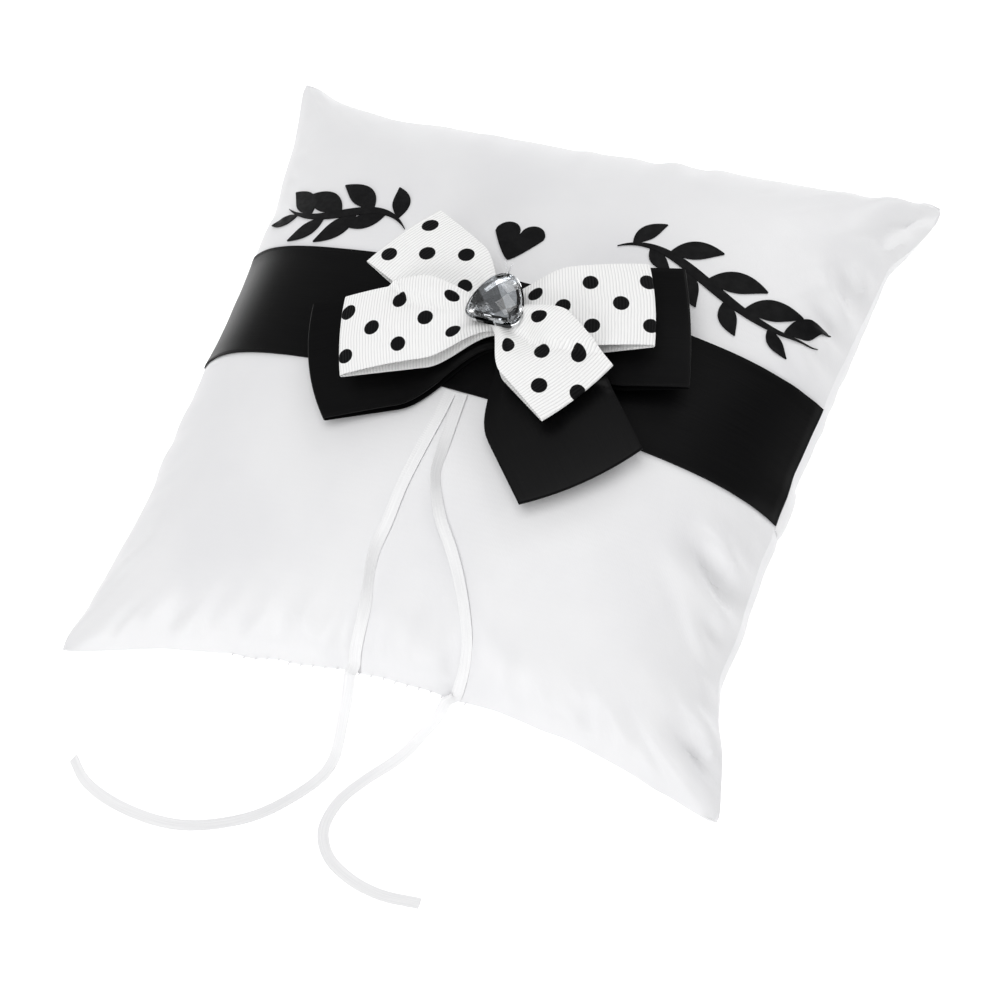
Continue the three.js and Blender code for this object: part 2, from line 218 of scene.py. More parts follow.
def bilinear(grid: np.ndarray, i: np.ndarray, j: np.ndarray) -> np.ndarray:
    """Read a grid of numbers or points between its places."""
    i0, j0 = i.astype(int), j.astype(int)
    a, b = i - i0, j - j0
    if grid.ndim > 2:
        a, b = a[..., None], b[..., None]
    near = grid[i0, j0] * (1 - b) + grid[i0, j0 + 1] * b
    far = grid[i0 + 1, j0] * (1 - b) + grid[i0 + 1, j0 + 1] * b
    return near * (1 - a) + far * a


def catmull_rom(points: np.ndarray, spacing: float) -> np.ndarray:
    """Follow a centripetal Catmull-Rom curve through points, at even steps of about spacing."""
    ends = np.vstack([2 * points[0] - points[1], points, 2 * points[-1] - points[-2]])
    dense: list[np.ndarray] = []
    for p0, p1, p2, p3 in zip(ends, ends[1:], ends[2:], ends[3:]):
        t1 = math.sqrt(np.linalg.norm(p1 - p0))
        t2 = t1 + math.sqrt(np.linalg.norm(p2 - p1))
        t3 = t2 + math.sqrt(np.linalg.norm(p3 - p2))
        t = np.linspace(t1, t2, 24, endpoint=False)[:, None]
        a1 = (t1 - t) / t1 * p0 + t / t1 * p1
        a2 = (t2 - t) / (t2 - t1) * p1 + (t - t1) / (t2 - t1) * p2
        a3 = (t3 - t) / (t3 - t2) * p2 + (t - t2) / (t3 - t2) * p3
        b1 = (t2 - t) / t2 * a1 + t / t2 * a2
        b2 = (t3 - t) / (t3 - t1) * a2 + (t - t1) / (t3 - t1) * a3
        dense.append((t2 - t) / (t2 - t1) * b1 + (t - t1) / (t2 - t1) * b2)
    line = np.vstack([*dense, points[-1:]])
    travelled = distances(line)
    steps = np.linspace(0.0, travelled[-1], max(2, round(travelled[-1] / spacing)) + 1)
    return np.stack([np.interp(steps, travelled, line[:, axis]) for axis in range(3)], axis=-1)


def tube_object(name: str, centres: np.ndarray, radius: float, sides: int = 8) -> bpy.types.Object:
    """Make a closed round tube along a line of points, in millimetres."""
    tangent = directions(centres)
    side = np.cross(tangent, OFF_AXIS)
    side /= np.linalg.norm(side, axis=1, keepdims=True)
    up = np.cross(side, tangent)
    turn = np.linspace(0.0, 2 * math.pi, sides, endpoint=False)
    ring = side[:, None] * np.cos(turn)[None, :, None] + up[:, None] * np.sin(turn)[None, :, None]
    tube = mesh_object(name, centres[:, None] + radius * ring, ring_faces(len(centres), sides))
    faces_out(tube)
    return tube


def faces_out(piece: bpy.types.Object) -> None:
    """Turn every face of a closed piece outwards."""
    work = bmesh.new()
    work.from_mesh(piece.data)
    bmesh.ops.recalc_face_normals(work, faces=work.faces)
    work.to_mesh(piece.data)
    work.free()


def blurred(grid: Grid, rounds: int) -> Grid:
    """Smooth a grid of points or heights by a few rounds of averaging, its rim held still."""
    out = grid.copy()
    for _ in range(rounds):
        inner = out[1:-1, 1:-1]
        beside = out[:-2, 1:-1] + out[2:, 1:-1] + out[1:-1, :-2] + out[1:-1, 2:]
        out[1:-1, 1:-1] = 0.5 * inner + 0.125 * beside
    return out


def running_mean(values: np.ndarray, reach: int) -> np.ndarray:
    """Average each value with the ones within reach on either side of it."""
    span = 2 * reach + 1
    return np.convolve(np.pad(values, reach, mode="edge"), np.ones(span) / span, mode="valid")


def soft_noise(count: int, wavelength: float, length: float, generator: np.random.Generator) -> np.ndarray:
    """Draw smooth noise along a line: count samples over length, with a rough wavelength, about one high."""
    knots = max(4, int(length / wavelength * 2) + 3)
    coarse = generator.normal(size=knots)
    place = np.linspace(0.0, knots - 1.0, count)
    low = np.clip(place.astype(int), 0, knots - 2)
    share = smooth_step(place - low)
    return coarse[low] * (1 - share) + coarse[low + 1] * share


# ---------------------------------------------------------------------------------------------------------------
# Finishes
# ---------------------------------------------------------------------------------------------------------------


class NodeBuilder:
    """Short calls for wiring a shader node tree."""

    def __init__(self, tree: bpy.types.NodeTree) -> None:
        """Work on one tree."""
        self.tree = tree

    def node(self, kind: str, **settings: object) -> bpy.types.Node:
        """Add a node and set its properties."""
        made = self.tree.nodes.new(kind)
        for name, value in settings.items():
            setattr(made, name, value)
        return made

    def feed(self, socket: bpy.types.NodeSocket, value: object) -> None:
        """Link a socket to another socket, or set its value."""
        if isinstance(value, bpy.types.NodeSocket):
            self.tree.links.new(value, socket)
        else:
            socket.default_value = value

    def math(self, operation: str, *values: object) -> bpy.types.NodeSocket:
        """Add a Math node fed by values and return its output."""
        made = self.node("ShaderNodeMath", operation=operation)
        for socket, value in zip(made.inputs, values):
            self.feed(socket, value)
        return made.outputs[0]

    def ramp(self, value: object, low: float, high: float, to_low: object = 0.0, to_high: object = 1.0):
        """Map a value smoothly from one range to another and return the output."""
        made = self.node("ShaderNodeMapRange", interpolation_type="SMOOTHSTEP")
        names = ("Value", "From Min", "From Max", "To Min", "To Max")
        for name, given in zip(names, (value, low, high, to_low, to_high)):
            self.feed(made.inputs[name], given)
        return made.outputs[0]

    def mix(self, factor: object, first: object, second: object) -> bpy.types.NodeSocket:
        """Mix two colours and return the output."""
        made = self.node("ShaderNodeMix", data_type="RGBA")
        self.feed(made.inputs[0], factor)
        self.feed(made.inputs[6], first)
        self.feed(made.inputs[7], second)
        return made.outputs[2]

    def noise(self, vector: object, scale: float, detail: float = 2.0) -> bpy.types.NodeSocket:
        """Add a Noise Texture and return its factor."""
        made = self.node("ShaderNodeTexNoise", noise_dimensions="3D")
        self.feed(made.inputs["Vector"], vector)
        self.feed(made.inputs["Scale"], scale)
        self.feed(made.inputs["Detail"], detail)
        return made.outputs[0]

    def stretched(self, vector: object, scale: Sequence[float]) -> bpy.types.NodeSocket:
        """Scale a vector and return the output."""
        made = self.node("ShaderNodeMapping")
        self.feed(made.inputs["Vector"], vector)
        made.inputs["Scale"].default_value = scale
        return made.outputs[0]

    def group(self, tree: bpy.types.NodeTree, **values: object) -> bpy.types.Node:
        """Place a node group with its inputs set by name, underscores standing for spaces."""
        made = self.node("ShaderNodeGroup", node_tree=tree)
        for name, value in values.items():
            self.feed(made.inputs[name.replace("_", " ")], value)
        return made


def new_group(name: str, inputs: dict[str, tuple[str, object]], outputs: dict[str, str]):
    """Start a shader node group.

    Args:
        name: the group's name.
        inputs: socket kind and default for each input name.
        outputs: socket kind for each output name.

    Returns:
        The tree, its builder, its input node and its output node.
    """
    tree = bpy.data.node_groups.new(name, "ShaderNodeTree")
    for label, (kind, default) in inputs.items():
        socket = tree.interface.new_socket(label, in_out="INPUT", socket_type=kind)
        if default is not None:
            socket.default_value = default
    for label, kind in outputs.items():
        tree.interface.new_socket(label, in_out="OUTPUT", socket_type=kind)
    builder = NodeBuilder(tree)
    return tree, builder, builder.node("NodeGroupInput"), builder.node("NodeGroupOutput")


@dataclass
class ClothEffects:
    """Shader groups that several finishes share, each built once."""

    facet_turn: float = 54.0
    weave: bpy.types.NodeTree = field(init=False)
    mottle: bpy.types.NodeTree = field(init=False)
    facets: bpy.types.NodeTree = field(init=False)
    ribbon_threads: bpy.types.NodeTree = field(init=False)
    ribs: bpy.types.NodeTree = field(init=False)
    dots: bpy.types.NodeTree = field(init=False)

    def __post_init__(self) -> None:
        """Build every group."""
        self.weave = self._weave()
        self.mottle = self._mottle()
        self.facets = self._paint_facet_reflections()
        self.ribbon_threads = self._ribbon_threads()
        self.ribs = self._ribs()
        self.dots = self._dots()

    def _weave(self) -> bpy.types.NodeTree:
        """Fine satin weave on object places: long floats one way, short ties the other."""
        floats = {"Vector": ("NodeSocketVector", None), "Threads per metre": ("NodeSocketFloat", 2600.0)}
        tree, build, entry, leave = new_group("satin_weave", floats, {"Height": "NodeSocketFloat"})
        place = build.node("ShaderNodeSeparateXYZ")
        build.feed(place.inputs[0], entry.outputs["Vector"])
        pitch = entry.outputs["Threads per metre"]
        warp = build.math("SINE", build.math("MULTIPLY", place.outputs[0], build.math("MULTIPLY", pitch, FULL_TURN)))
        weft = build.math("SINE", build.math("MULTIPLY", place.outputs[1], build.math("MULTIPLY", pitch, 1.571)))
        slub = build.noise(build.stretched(entry.outputs["Vector"], (900.0, 160.0, 500.0)), 1.0, 2.0)
        threads = build.math("MULTIPLY_ADD", warp, 0.30, build.math("MULTIPLY", weft, 0.12))
        build.feed(leave.inputs["Height"], build.math("MULTIPLY_ADD", slub, 0.9, threads))
        return tree

    def _mottle(self) -> bpy.types.NodeTree:
        """Slow changes of tone over a cloth."""
        sockets = {
            "Vector": ("NodeSocketVector", None),
            "Base": ("NodeSocketColor", (0.8, 0.8, 0.8, 1.0)),
            "Shade": ("NodeSocketColor", (0.7, 0.7, 0.7, 1.0)),
            "Patch size per metre": ("NodeSocketFloat", 40.0),
        }
        tree, build, entry, leave = new_group("cloth_mottle", sockets, {"Color": "NodeSocketColor"})
        patches = build.node("ShaderNodeTexNoise")
        build.feed(patches.inputs["Vector"], entry.outputs["Vector"])
        build.feed(patches.inputs["Scale"], entry.outputs["Patch size per metre"])
        build.feed(patches.inputs["Detail"], 3.0)
        share = build.ramp(patches.outputs[0], 0.35, 0.75)
        build.feed(leave.inputs["Color"], build.mix(share, entry.outputs["Base"], entry.outputs["Shade"]))
        return tree

    def _paint_facet_reflections(self) -> bpy.types.NodeTree:
        """Painted reflections: a random light or dark tone for each flat square mirror, standing for the part of the
        room that it catches.
        """
        sockets = {"Vector": ("NodeSocketVector", None), "Pitch": ("NodeSocketFloat", 0.0033)}
        tree, build, entry, leave = new_group("painted_reflection_facets", sockets, {"Tone": "NodeSocketFloat"})
        turned = build.node("ShaderNodeMapping")
        build.feed(turned.inputs["Vector"], entry.outputs["Vector"])
        turned.inputs["Rotation"].default_value = (0.0, 0.0, math.radians(self.facet_turn))
        pitch = build.node("ShaderNodeCombineXYZ")
        for socket in pitch.inputs[:2]:
            build.feed(socket, entry.outputs["Pitch"])
        pitch.inputs[2].default_value = 1.0
        cell = build.node("ShaderNodeVectorMath", operation="SNAP")
        build.feed(cell.inputs[0], turned.outputs[0])
        build.feed(cell.inputs[1], pitch.outputs[0])
        scatter = build.node("ShaderNodeTexWhiteNoise", noise_dimensions="2D")
        build.feed(scatter.inputs["Vector"], build.stretched(cell.outputs[0], (997.0, 997.0, 0.0)))
        build.feed(leave.inputs["Tone"], scatter.outputs["Value"])
        return tree

    def _ribbon_threads(self) -> bpy.types.NodeTree:
        """Satin threads along a ribbon with a firm woven edge, on the ribbon's own map."""
        sockets = {"UV": ("NodeSocketVector", None), "Half width": ("NodeSocketFloat", 0.19)}
        outputs = {"Height": "NodeSocketFloat", "Edge": "NodeSocketFloat", "Streak": "NodeSocketFloat"}
        tree, build, entry, leave = new_group("ribbon_threads", sockets, outputs)
        place = build.node("ShaderNodeSeparateXYZ")
        build.feed(place.inputs[0], entry.outputs["UV"])
        across = build.math("ABSOLUTE", place.outputs[1])
        edge_start = build.math("SUBTRACT", entry.outputs["Half width"], 0.011)
        edge = build.math("GREATER_THAN", across, edge_start)
        streak = build.noise(build.stretched(entry.outputs["UV"], (6.0, 420.0, 1.0)), 1.0, 3.0)
        ties = build.math("SINE", build.math("MULTIPLY", place.outputs[0], 1500.0))
        cords = build.math("SINE", build.math("MULTIPLY", place.outputs[0], 900.0))
        face = build.math("MULTIPLY_ADD", ties, 0.06, build.math("MULTIPLY", streak, 0.8))
        firm = build.math("MULTIPLY_ADD", cords, 0.30, 0.75)
        build.feed(leave.inputs["Height"], build.math("ADD", build.math("MULTIPLY", edge, firm), face))
        build.feed(leave.inputs["Edge"], edge)
        build.feed(leave.inputs["Streak"], streak)
        return tree

    def _ribs(self) -> bpy.types.NodeTree:
        """Grosgrain ribs across a ribbon."""
        sockets = {"UV": ("NodeSocketVector", None), "Pitch": ("NodeSocketFloat", 0.0088)}
        outputs = {"Height": "NodeSocketFloat", "Groove shade": "NodeSocketFloat"}
        tree, build, entry, leave = new_group("grosgrain_ribs", sockets, outputs)
        place = build.node("ShaderNodeSeparateXYZ")
        build.feed(place.inputs[0], entry.outputs["UV"])
        wander = build.noise(build.stretched(entry.outputs["UV"], (3.0, 14.0, 1.0)), 1.0, 1.0)
        shifted = build.math("MULTIPLY_ADD", wander, 0.006, place.outputs[0])
        turn = build.math("MULTIPLY", build.math("DIVIDE", shifted, entry.outputs["Pitch"]), math.pi)
        rib = build.math("ABSOLUTE", build.math("SINE", turn))
        threads = build.math("SINE", build.math("MULTIPLY", place.outputs[1], 1900.0))
        build.feed(leave.inputs["Height"], build.math("MULTIPLY_ADD", threads, 0.05, rib))
        # Painted shade: a mask that is 1 in the grooves between the ribs, for darkening the base colour there.
        build.feed(leave.inputs["Groove shade"], build.ramp(rib, 0.55, 0.05))
        return tree

    def _dots(self) -> bpy.types.NodeTree:
        """Three staggered rows of round printed dots along a ribbon."""
        sockets = {
            "UV": ("NodeSocketVector", None),
            "Row gap": ("NodeSocketFloat", 0.07),
            "Dot gap": ("NodeSocketFloat", 0.16),
            "Radius": ("NodeSocketFloat", 0.0225),
        }
        tree, build, entry, leave = new_group("printed_dots", sockets, {"Mask": "NodeSocketFloat"})
        place = build.node("ShaderNodeSeparateXYZ")
        build.feed(place.inputs[0], entry.outputs["UV"])
        along, across = place.outputs[0], place.outputs[1]
        row_gap, dot_gap = entry.outputs["Row gap"], entry.outputs["Dot gap"]
        row = build.math("ROUND", build.math("DIVIDE", across, row_gap))
        held = build.math("MINIMUM", build.math("MAXIMUM", row, -1.0), 1.0)
        stagger = build.math("SUBTRACT", 1.0, build.math("ABSOLUTE", held))
        moved = build.math("MULTIPLY_ADD", stagger, build.math("MULTIPLY", dot_gap, 0.5), along)
        turn = build.math("ROUND", build.math("DIVIDE", moved, dot_gap))
        off_along = build.math("SUBTRACT", moved, build.math("MULTIPLY", turn, dot_gap))
        off_across = build.math("SUBTRACT", across, build.math("MULTIPLY", held, row_gap))
        square = build.math("MULTIPLY_ADD", off_across, off_across, build.math("MULTIPLY", off_along, off_along))
        distance = build.math("SQRT", square)
        ragged = build.math("MULTIPLY_ADD", build.noise(entry.outputs["UV"], 260.0, 1.0), 0.0014, -0.0007)
        edge = build.math("ADD", distance, ragged)
        inner = build.math("SUBTRACT", entry.outputs["Radius"], 0.0007)
        outer = build.math("ADD", entry.outputs["Radius"], 0.0007)
        build.feed(leave.inputs["Mask"], build.ramp(edge, inner, outer, 1.0, 0.0))
        return tree


def start_material(name: str) -> tuple[bpy.types.Material, NodeBuilder, bpy.types.Node]:
    """Start a node material and return it with its builder and its Principled BSDF."""
    material = bpy.data.materials.new(name)
    material.use_nodes = True
    build = NodeBuilder(material.node_tree)
    return material, build, material.node_tree.nodes["Principled BSDF"]


def object_place(build: NodeBuilder) -> bpy.types.NodeSocket:
    """Object coordinates of a piece."""
    return build.node("ShaderNodeTexCoord").outputs["Object"]


def start_mottled(
    name: str, effects: ClothEffects, base: Color, shade: Color, patches: float
) -> tuple[bpy.types.Material, NodeBuilder, bpy.types.Node, bpy.types.NodeSocket]:
    """Start a material whose tone drifts between two colours.

    Args:
        name: the material's name.
        effects: the shared shader groups.
        base: its main colour.
        shade: the colour that it drifts to.
        patches: patches for each metre.

    Returns:
        The material, its builder, its Principled BSDF and the piece's object coordinates.
    """
    material, build, shader = start_material(name)
    place = object_place(build)
    tone = build.group(effects.mottle, Vector=place, Base=base, Shade=shade, Patch_size_per_metre=patches)
    build.feed(shader.inputs["Base Color"], tone.outputs["Color"])
    return material, build, shader, place


def ribbon_place(build: NodeBuilder) -> bpy.types.NodeSocket:
    """The ribbon's own map: along in x and across in y."""
    return build.node("ShaderNodeUVMap", uv_map="ribbon").outputs[0]


def add_bump(build: NodeBuilder, shader: bpy.types.Node, height: object, distance: float, strength: float = 1.0) -> None:
    """Feed the shader's normal from a height, distance being the height of one unit in metres."""
    bump = build.node("ShaderNodeBump")
    bump.inputs["Strength"].default_value = strength
    bump.inputs["Distance"].default_value = distance
    build.feed(bump.inputs["Height"], height)
    build.feed(shader.inputs["Normal"], bump.outputs[0])


def set_values(shader: bpy.types.Node, **values: object) -> None:
    """Set plain values on a shader's own sockets, underscores standing for spaces."""
    for name, value in values.items():
        shader.inputs[name.replace("_", " ")].default_value = value


@dataclass(frozen=True)
class SatinCloth:
    """Woven satin on object coordinates, for the pillow's cover."""

    name: str
    base: Color
    shade: Color
    roughness: tuple[float, float]
    sheen: float

    def material(self, effects: ClothEffects) -> bpy.types.Material:
        """Build the material."""
        material, build, shader, place = start_mottled(self.name, effects, self.base, self.shade, 26.0)
        smudge = build.noise(place, 60.0, 3.0)
        build.feed(shader.inputs["Roughness"], build.ramp(smudge, 0.3, 0.7, *self.roughness))
        weave = build.group(effects.weave, Vector=place, Threads_per_metre=SATIN_THREADS)
        set_values(shader, Sheen_Weight=self.sheen, Sheen_Roughness=0.4, Specular_IOR_Level=0.45)
        add_bump(build, shader, weave.outputs["Height"], 0.00004, 0.5)
        return material


@dataclass(frozen=True)
class SatinRibbon:
    """Satin ribbon with firm woven edges, on the ribbon's own map."""

    name: str
    base: Color
    shade: Color
    half_width: float
    roughness: float
    edge_roughness: float
    sheen: float
    anisotropy: float
    gloss: float = 0.5

    def material(self, effects: ClothEffects) -> bpy.types.Material:
        """Build the material."""
        material, build, shader = start_material(self.name)
        threads = build.group(
            effects.ribbon_threads, UV=ribbon_place(build), Half_width=self.half_width * UV_PER_MM
        )
        tone = build.ramp(threads.outputs["Streak"], 0.3, 0.7)
        build.feed(shader.inputs["Base Color"], build.mix(tone, self.base, self.shade))
        rough = build.ramp(threads.outputs["Edge"], 0.0, 1.0, self.roughness, self.edge_roughness)
        build.feed(shader.inputs["Roughness"], rough)
        set_values(
            shader, Sheen_Weight=self.sheen, Sheen_Roughness=0.35, Anisotropic=self.anisotropy,
            Specular_IOR_Level=self.gloss,
        )
        add_bump(build, shader, threads.outputs["Height"], 0.00005, 0.6)
        return material


@dataclass(frozen=True)
class DottedGrosgrain:
    """White ribbed ribbon printed with black dots, on the ribbon's own map, with painted shade in the grooves between
    its ribs.
    """

    name: str
    base: Color
    groove_shade: Color
    ink: Color

    def material(self, effects: ClothEffects) -> bpy.types.Material:
        """Build the material."""
        material, build, shader = start_material(self.name)
        place = ribbon_place(build)
        ribs = build.group(effects.ribs, UV=place)
        dots = build.group(effects.dots, UV=place)
        # Painted shade: the grooves between the ribs are darkened to the groove shade colour.
        cloth = build.mix(ribs.outputs["Groove shade"], self.base, self.groove_shade)
        build.feed(shader.inputs["Base Color"], build.mix(dots.outputs["Mask"], cloth, self.ink))
        build.feed(shader.inputs["Roughness"], build.ramp(dots.outputs["Mask"], 0.0, 1.0, 0.62, 0.42))
        set_values(shader, Specular_IOR_Level=0.09)
        add_bump(build, shader, ribs.outputs["Height"], 0.00016, 0.8)
        return material


@dataclass(frozen=True)
class PressedFilm:
    """Thin black film pressed on cloth, which shows the weave a little."""

    name: str

    def material(self, effects: ClothEffects) -> bpy.types.Material:
        """Build the material."""
        material, build, shader, place = start_mottled(
            self.name, effects, (0.003, 0.003, 0.0034, 1), (0.006, 0.006, 0.0065, 1), 300.0
        )
        build.feed(shader.inputs["Roughness"], build.ramp(build.noise(place, 500.0), 0.3, 0.7, 0.48, 0.62))
        weave = build.group(effects.weave, Vector=place, Threads_per_metre=SATIN_THREADS)
        set_values(shader, Specular_IOR_Level=0.09)
        add_bump(build, shader, weave.outputs["Height"], 0.00005, 0.7)
        return material


@dataclass(frozen=True)
class CutGlass:
    """Clear cut glass with faint wear on its facets."""

    name: str

    def material(self, effects: ClothEffects) -> bpy.types.Material:
        """Build the material."""
        material, build, shader, place = start_mottled(
            self.name, effects, (0.93, 0.95, 0.97, 1), (0.86, 0.88, 0.91, 1), 260.0
        )
        build.feed(shader.inputs["Roughness"], build.ramp(build.noise(place, 900.0), 0.55, 0.8, 0.01, 0.05))
        set_values(shader, Metallic=0.0, Transmission_Weight=1.0, IOR=1.52)
        return material


@dataclass(frozen=True)
class BrightFoil:
    """Silver foil behind a gem, its square facets painted light or dark at random as painted reflections of the room,
    and dull where it is scuffed.
    """

    name: str
    base: Color
    shade: Color

    def material(self, effects: ClothEffects) -> bpy.types.Material:
        """Build the material."""
        material, build, shader = start_material(self.name)
        place = object_place(build)
        facet_reflections = build.group(effects.facets, Vector=place, Pitch=0.0043)
        # Painted reflections: each facet's random tone mixes the dark shade colour into the silver base.
        tone = build.ramp(facet_reflections.outputs["Tone"], 0.2, 0.85)
        build.feed(shader.inputs["Base Color"], build.mix(tone, self.shade, self.base))
        build.feed(shader.inputs["Roughness"], build.ramp(build.noise(place, 700.0), 0.4, 0.75, 0.08, 0.22))
        set_values(shader, Metallic=1.0)
        return material


@dataclass(frozen=True)
class SpunThread:
    """Sewing thread, or loose fibre, with fine lengthwise grain."""

    name: str
    base: Color
    shade: Color
    grain: float

    def material(self, effects: ClothEffects) -> bpy.types.Material:
        """Build the material."""
        material, build, shader, place = start_mottled(self.name, effects, self.base, self.shade, 900.0)
        fluff = build.noise(place, self.grain, 4.0)
        build.feed(shader.inputs["Roughness"], build.ramp(fluff, 0.3, 0.7, 0.6, 0.85))
        add_bump(build, shader, fluff, 0.0001, 0.6)
        return material


@dataclass(frozen=True)
class ClearNylon:
    """Clear nylon thread."""

    name: str

    def material(self, effects: ClothEffects) -> bpy.types.Material:
        """Build the material."""
        material, build, shader, place = start_mottled(
            self.name, effects, (0.97, 0.98, 0.99, 1), (0.9, 0.92, 0.94, 1), 800.0
        )
        build.feed(shader.inputs["Roughness"], build.ramp(build.noise(place, 1500.0), 0.4, 0.7, 0.08, 0.2))
        set_values(shader, Metallic=0.0, Transmission_Weight=0.85, IOR=1.5)
        return material


@dataclass
class Finishes:
    """Every finish of the pillow, built once."""

    effects: ClothEffects = field(default_factory=ClothEffects)
    made: dict[str, bpy.types.Material] = field(default_factory=dict)

    def __post_init__(self) -> None:
        """Build the materials."""
        kinds = [
            SatinCloth("white_satin", (0.80, 0.80, 0.81, 1), (0.76, 0.76, 0.775, 1), (0.36, 0.46), 0.12),
            SatinRibbon("white_ribbon", (0.86, 0.86, 0.865, 1), (0.79, 0.79, 0.80, 1), 1.65, 0.34, 0.5, 0.1, 0.3),
            SatinRibbon("white_strap", (0.82, 0.82, 0.83, 1), (0.77, 0.77, 0.78, 1), 8.0, 0.36, 0.5, 0.1, 0.3),
            SatinRibbon(
                "black_satin", (0.002, 0.002, 0.0022, 1), (0.0035, 0.0035, 0.0038, 1), 19.0, 0.34, 0.5, 0.0, 0.4, 0.08
            ),
            # The grey second colour is painted shade for the grooves between the ribs.
            DottedGrosgrain("dotted_grosgrain", (0.91, 0.91, 0.905, 1), (0.74, 0.74, 0.74, 1), (0.003, 0.003, 0.0035, 1)),
            PressedFilm("pressed_black"),
            SpunThread("fibre_filling", (0.9, 0.9, 0.9, 1), (0.8, 0.8, 0.8, 1), 600.0),
            SpunThread("sewing_thread", (0.78, 0.78, 0.79, 1), (0.6, 0.6, 0.61, 1), 2500.0),
            CutGlass("clear_gem"),
            # The foil's near-black shade colour is its painted reflection of dark parts of the room.
            BrightFoil("silver_foil", (0.74, 0.75, 0.76, 1), (0.012, 0.0125, 0.0135, 1)),
            ClearNylon("clear_nylon"),
        ]
        self.made = {kind.name: kind.material(self.effects) for kind in kinds}


@dataclass
class Workshop:
    """Dresses pieces and hands them to the frame."""

    finishes: Finishes

    def settle(
        self,
        piece: bpy.types.Object,
        finish: str,
        slot: str,
        nodes: Sequence[str] = (),
    ) -> bpy.types.Object:
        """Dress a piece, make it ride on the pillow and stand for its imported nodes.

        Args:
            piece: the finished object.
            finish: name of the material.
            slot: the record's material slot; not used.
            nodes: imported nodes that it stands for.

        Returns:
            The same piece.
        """
        piece.data.materials.clear()
        piece.data.materials.append(self.finishes.made[finish])
        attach(piece, BODY)
        if nodes:
            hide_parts(*nodes)
        LOG.info("%s: %d faces, finish %s", piece.name, len(piece.data.polygons), finish)
        return piece


# ---------------------------------------------------------------------------------------------------------------
# Studio
# ---------------------------------------------------------------------------------------------------------------


@dataclass
class StudioCamera:
    """The camera, turned about its own line of sight."""

    azimuth: float = 39.0
    elevation: float = 58.74
    roll: float = -21.63
    target: tuple[float, float, float] = (7.09, -21.36, 15.0)
    distance: float = 1278.85
    lens: float = 162.0

    def build(self) -> None:
        """Make the camera and set it as the scene's."""
        turn, rise, roll = (math.radians(angle) for angle in (self.azimuth, self.elevation, self.roll))
        back = Vector((math.sin(turn) * math.cos(rise), -math.cos(turn) * math.cos(rise), math.sin(rise)))
        level = Vector((math.cos(turn), math.sin(turn), 0.0))
        upright = back.cross(level)
        right = level * math.cos(roll) + upright * math.sin(roll)
        up = upright * math.cos(roll) - level * math.sin(roll)
        place = (Vector(self.target) + back * self.distance) * MM
        data = bpy.data.cameras.new("studio_camera")
        data.sensor_width = 36.0
        data.lens = self.lens
        data.clip_start, data.clip_end = 0.05, 20.0
        camera = linked("studio_camera", data)
        axes = zip(right, up, back, place)
        camera.matrix_world = Matrix([tuple(row) for row in axes] + [(0.0, 0.0, 0.0, 1.0)])
        bpy.context.scene.camera = camera


@dataclass(frozen=True)
class SoftLight:
    """A soft area light that looks at the pillow."""

    name: str
    place: tuple[float, float, float]
    size: float
    power: float

    def build(self) -> None:
        """Make the light."""
        data = bpy.data.lights.new(self.name, "AREA")
        data.shape = "SQUARE"
        data.size = self.size
        data.energy = self.power
        light = linked(self.name, data)
        light.location = self.place
        light.rotation_mode = "QUATERNION"
        light.rotation_quaternion = Vector(self.place).to_track_quat("Z", "Y")


@dataclass
class Studio:
    """Pale table, soft lights and an even pale surround."""

    surround: float = 0.44
    table_glow: float = 0.4
    table_size: float = 6.0
    lights: tuple[SoftLight, ...] = (
        SoftLight("front_softbox", (-0.35, -1.45, 0.85), 0.9, 9.0),
        SoftLight("overhead_softbox", (0.1, -0.2, 1.7), 1.2, 11.6),
        SoftLight("back_softbox", (0.35, 1.5, 0.9), 0.9, 7.8),
    )

    def build(self) -> None:
        """Make the lights, the surround and the table."""
        scene = bpy.context.scene
        scene.view_settings.view_transform = "Standard"
        scene.view_settings.look = "None"
        world = bpy.data.worlds.new("pale_surround")
        world.use_nodes = True
        sky = world.node_tree.nodes["Background"]
        sky.inputs["Color"].default_value = (1.0, 1.0, 1.0, 1.0)
        sky.inputs["Strength"].default_value = self.surround
        scene.world = world
        for light in self.lights:
            light.build()
        self._table()

    def _table(self) -> None:
        """Make the plain table top."""
        table = flat_square("table_top", self.table_size / 2 / MM)
        material, build, shader = start_material("pale_table")
        place = object_place(build)
        tone = build.noise(place, 3.0, 2.0)
        build.feed(shader.inputs["Base Color"], build.mix(tone, (0.95, 0.95, 0.95, 1), (0.93, 0.93, 0.935, 1)))
        set_values(
            shader, Roughness=0.85, Specular_IOR_Level=0.1, Emission_Color=(1.0, 1.0, 1.0, 1.0),
            Emission_Strength=self.table_glow,
        )
        table.data.materials.append(material)


# ---------------------------------------------------------------------------------------------------------------
# Cushion
# ---------------------------------------------------------------------------------------------------------------


class Side(Enum):
    """The four sides of the pillow."""

    LEFT = "left"
    RIGHT = "right"
    TOP = "top"
    BOTTOM = "bottom"

    @property
    def upright(self) -> bool:
        """True for the sides that run along Y."""
        return self in (Side.LEFT, Side.RIGHT)

    def towards(self, u: np.ndarray, v: np.ndarray) -> np.ndarray:
        """Panel share that is 1 at this side and -1 at the opposite one."""
        share = u if self.upright else v
        return share if self in (Side.RIGHT, Side.TOP) else -share


@dataclass(frozen=True)
class SideShape:
    """How one side is sewn: how far stuffing draws it in at shares of its length, and how it puckers."""

    pulls: tuple[tuple[float, float], ...]
    pucker: float
    slant: float


@dataclass(frozen=True)
class Crease:
    """A fold in the front panel: a valley with a soft ridge on one side, deepest at its end."""

    start: tuple[float, float]
    end: tuple[float, float]
    depth: float
    width: float


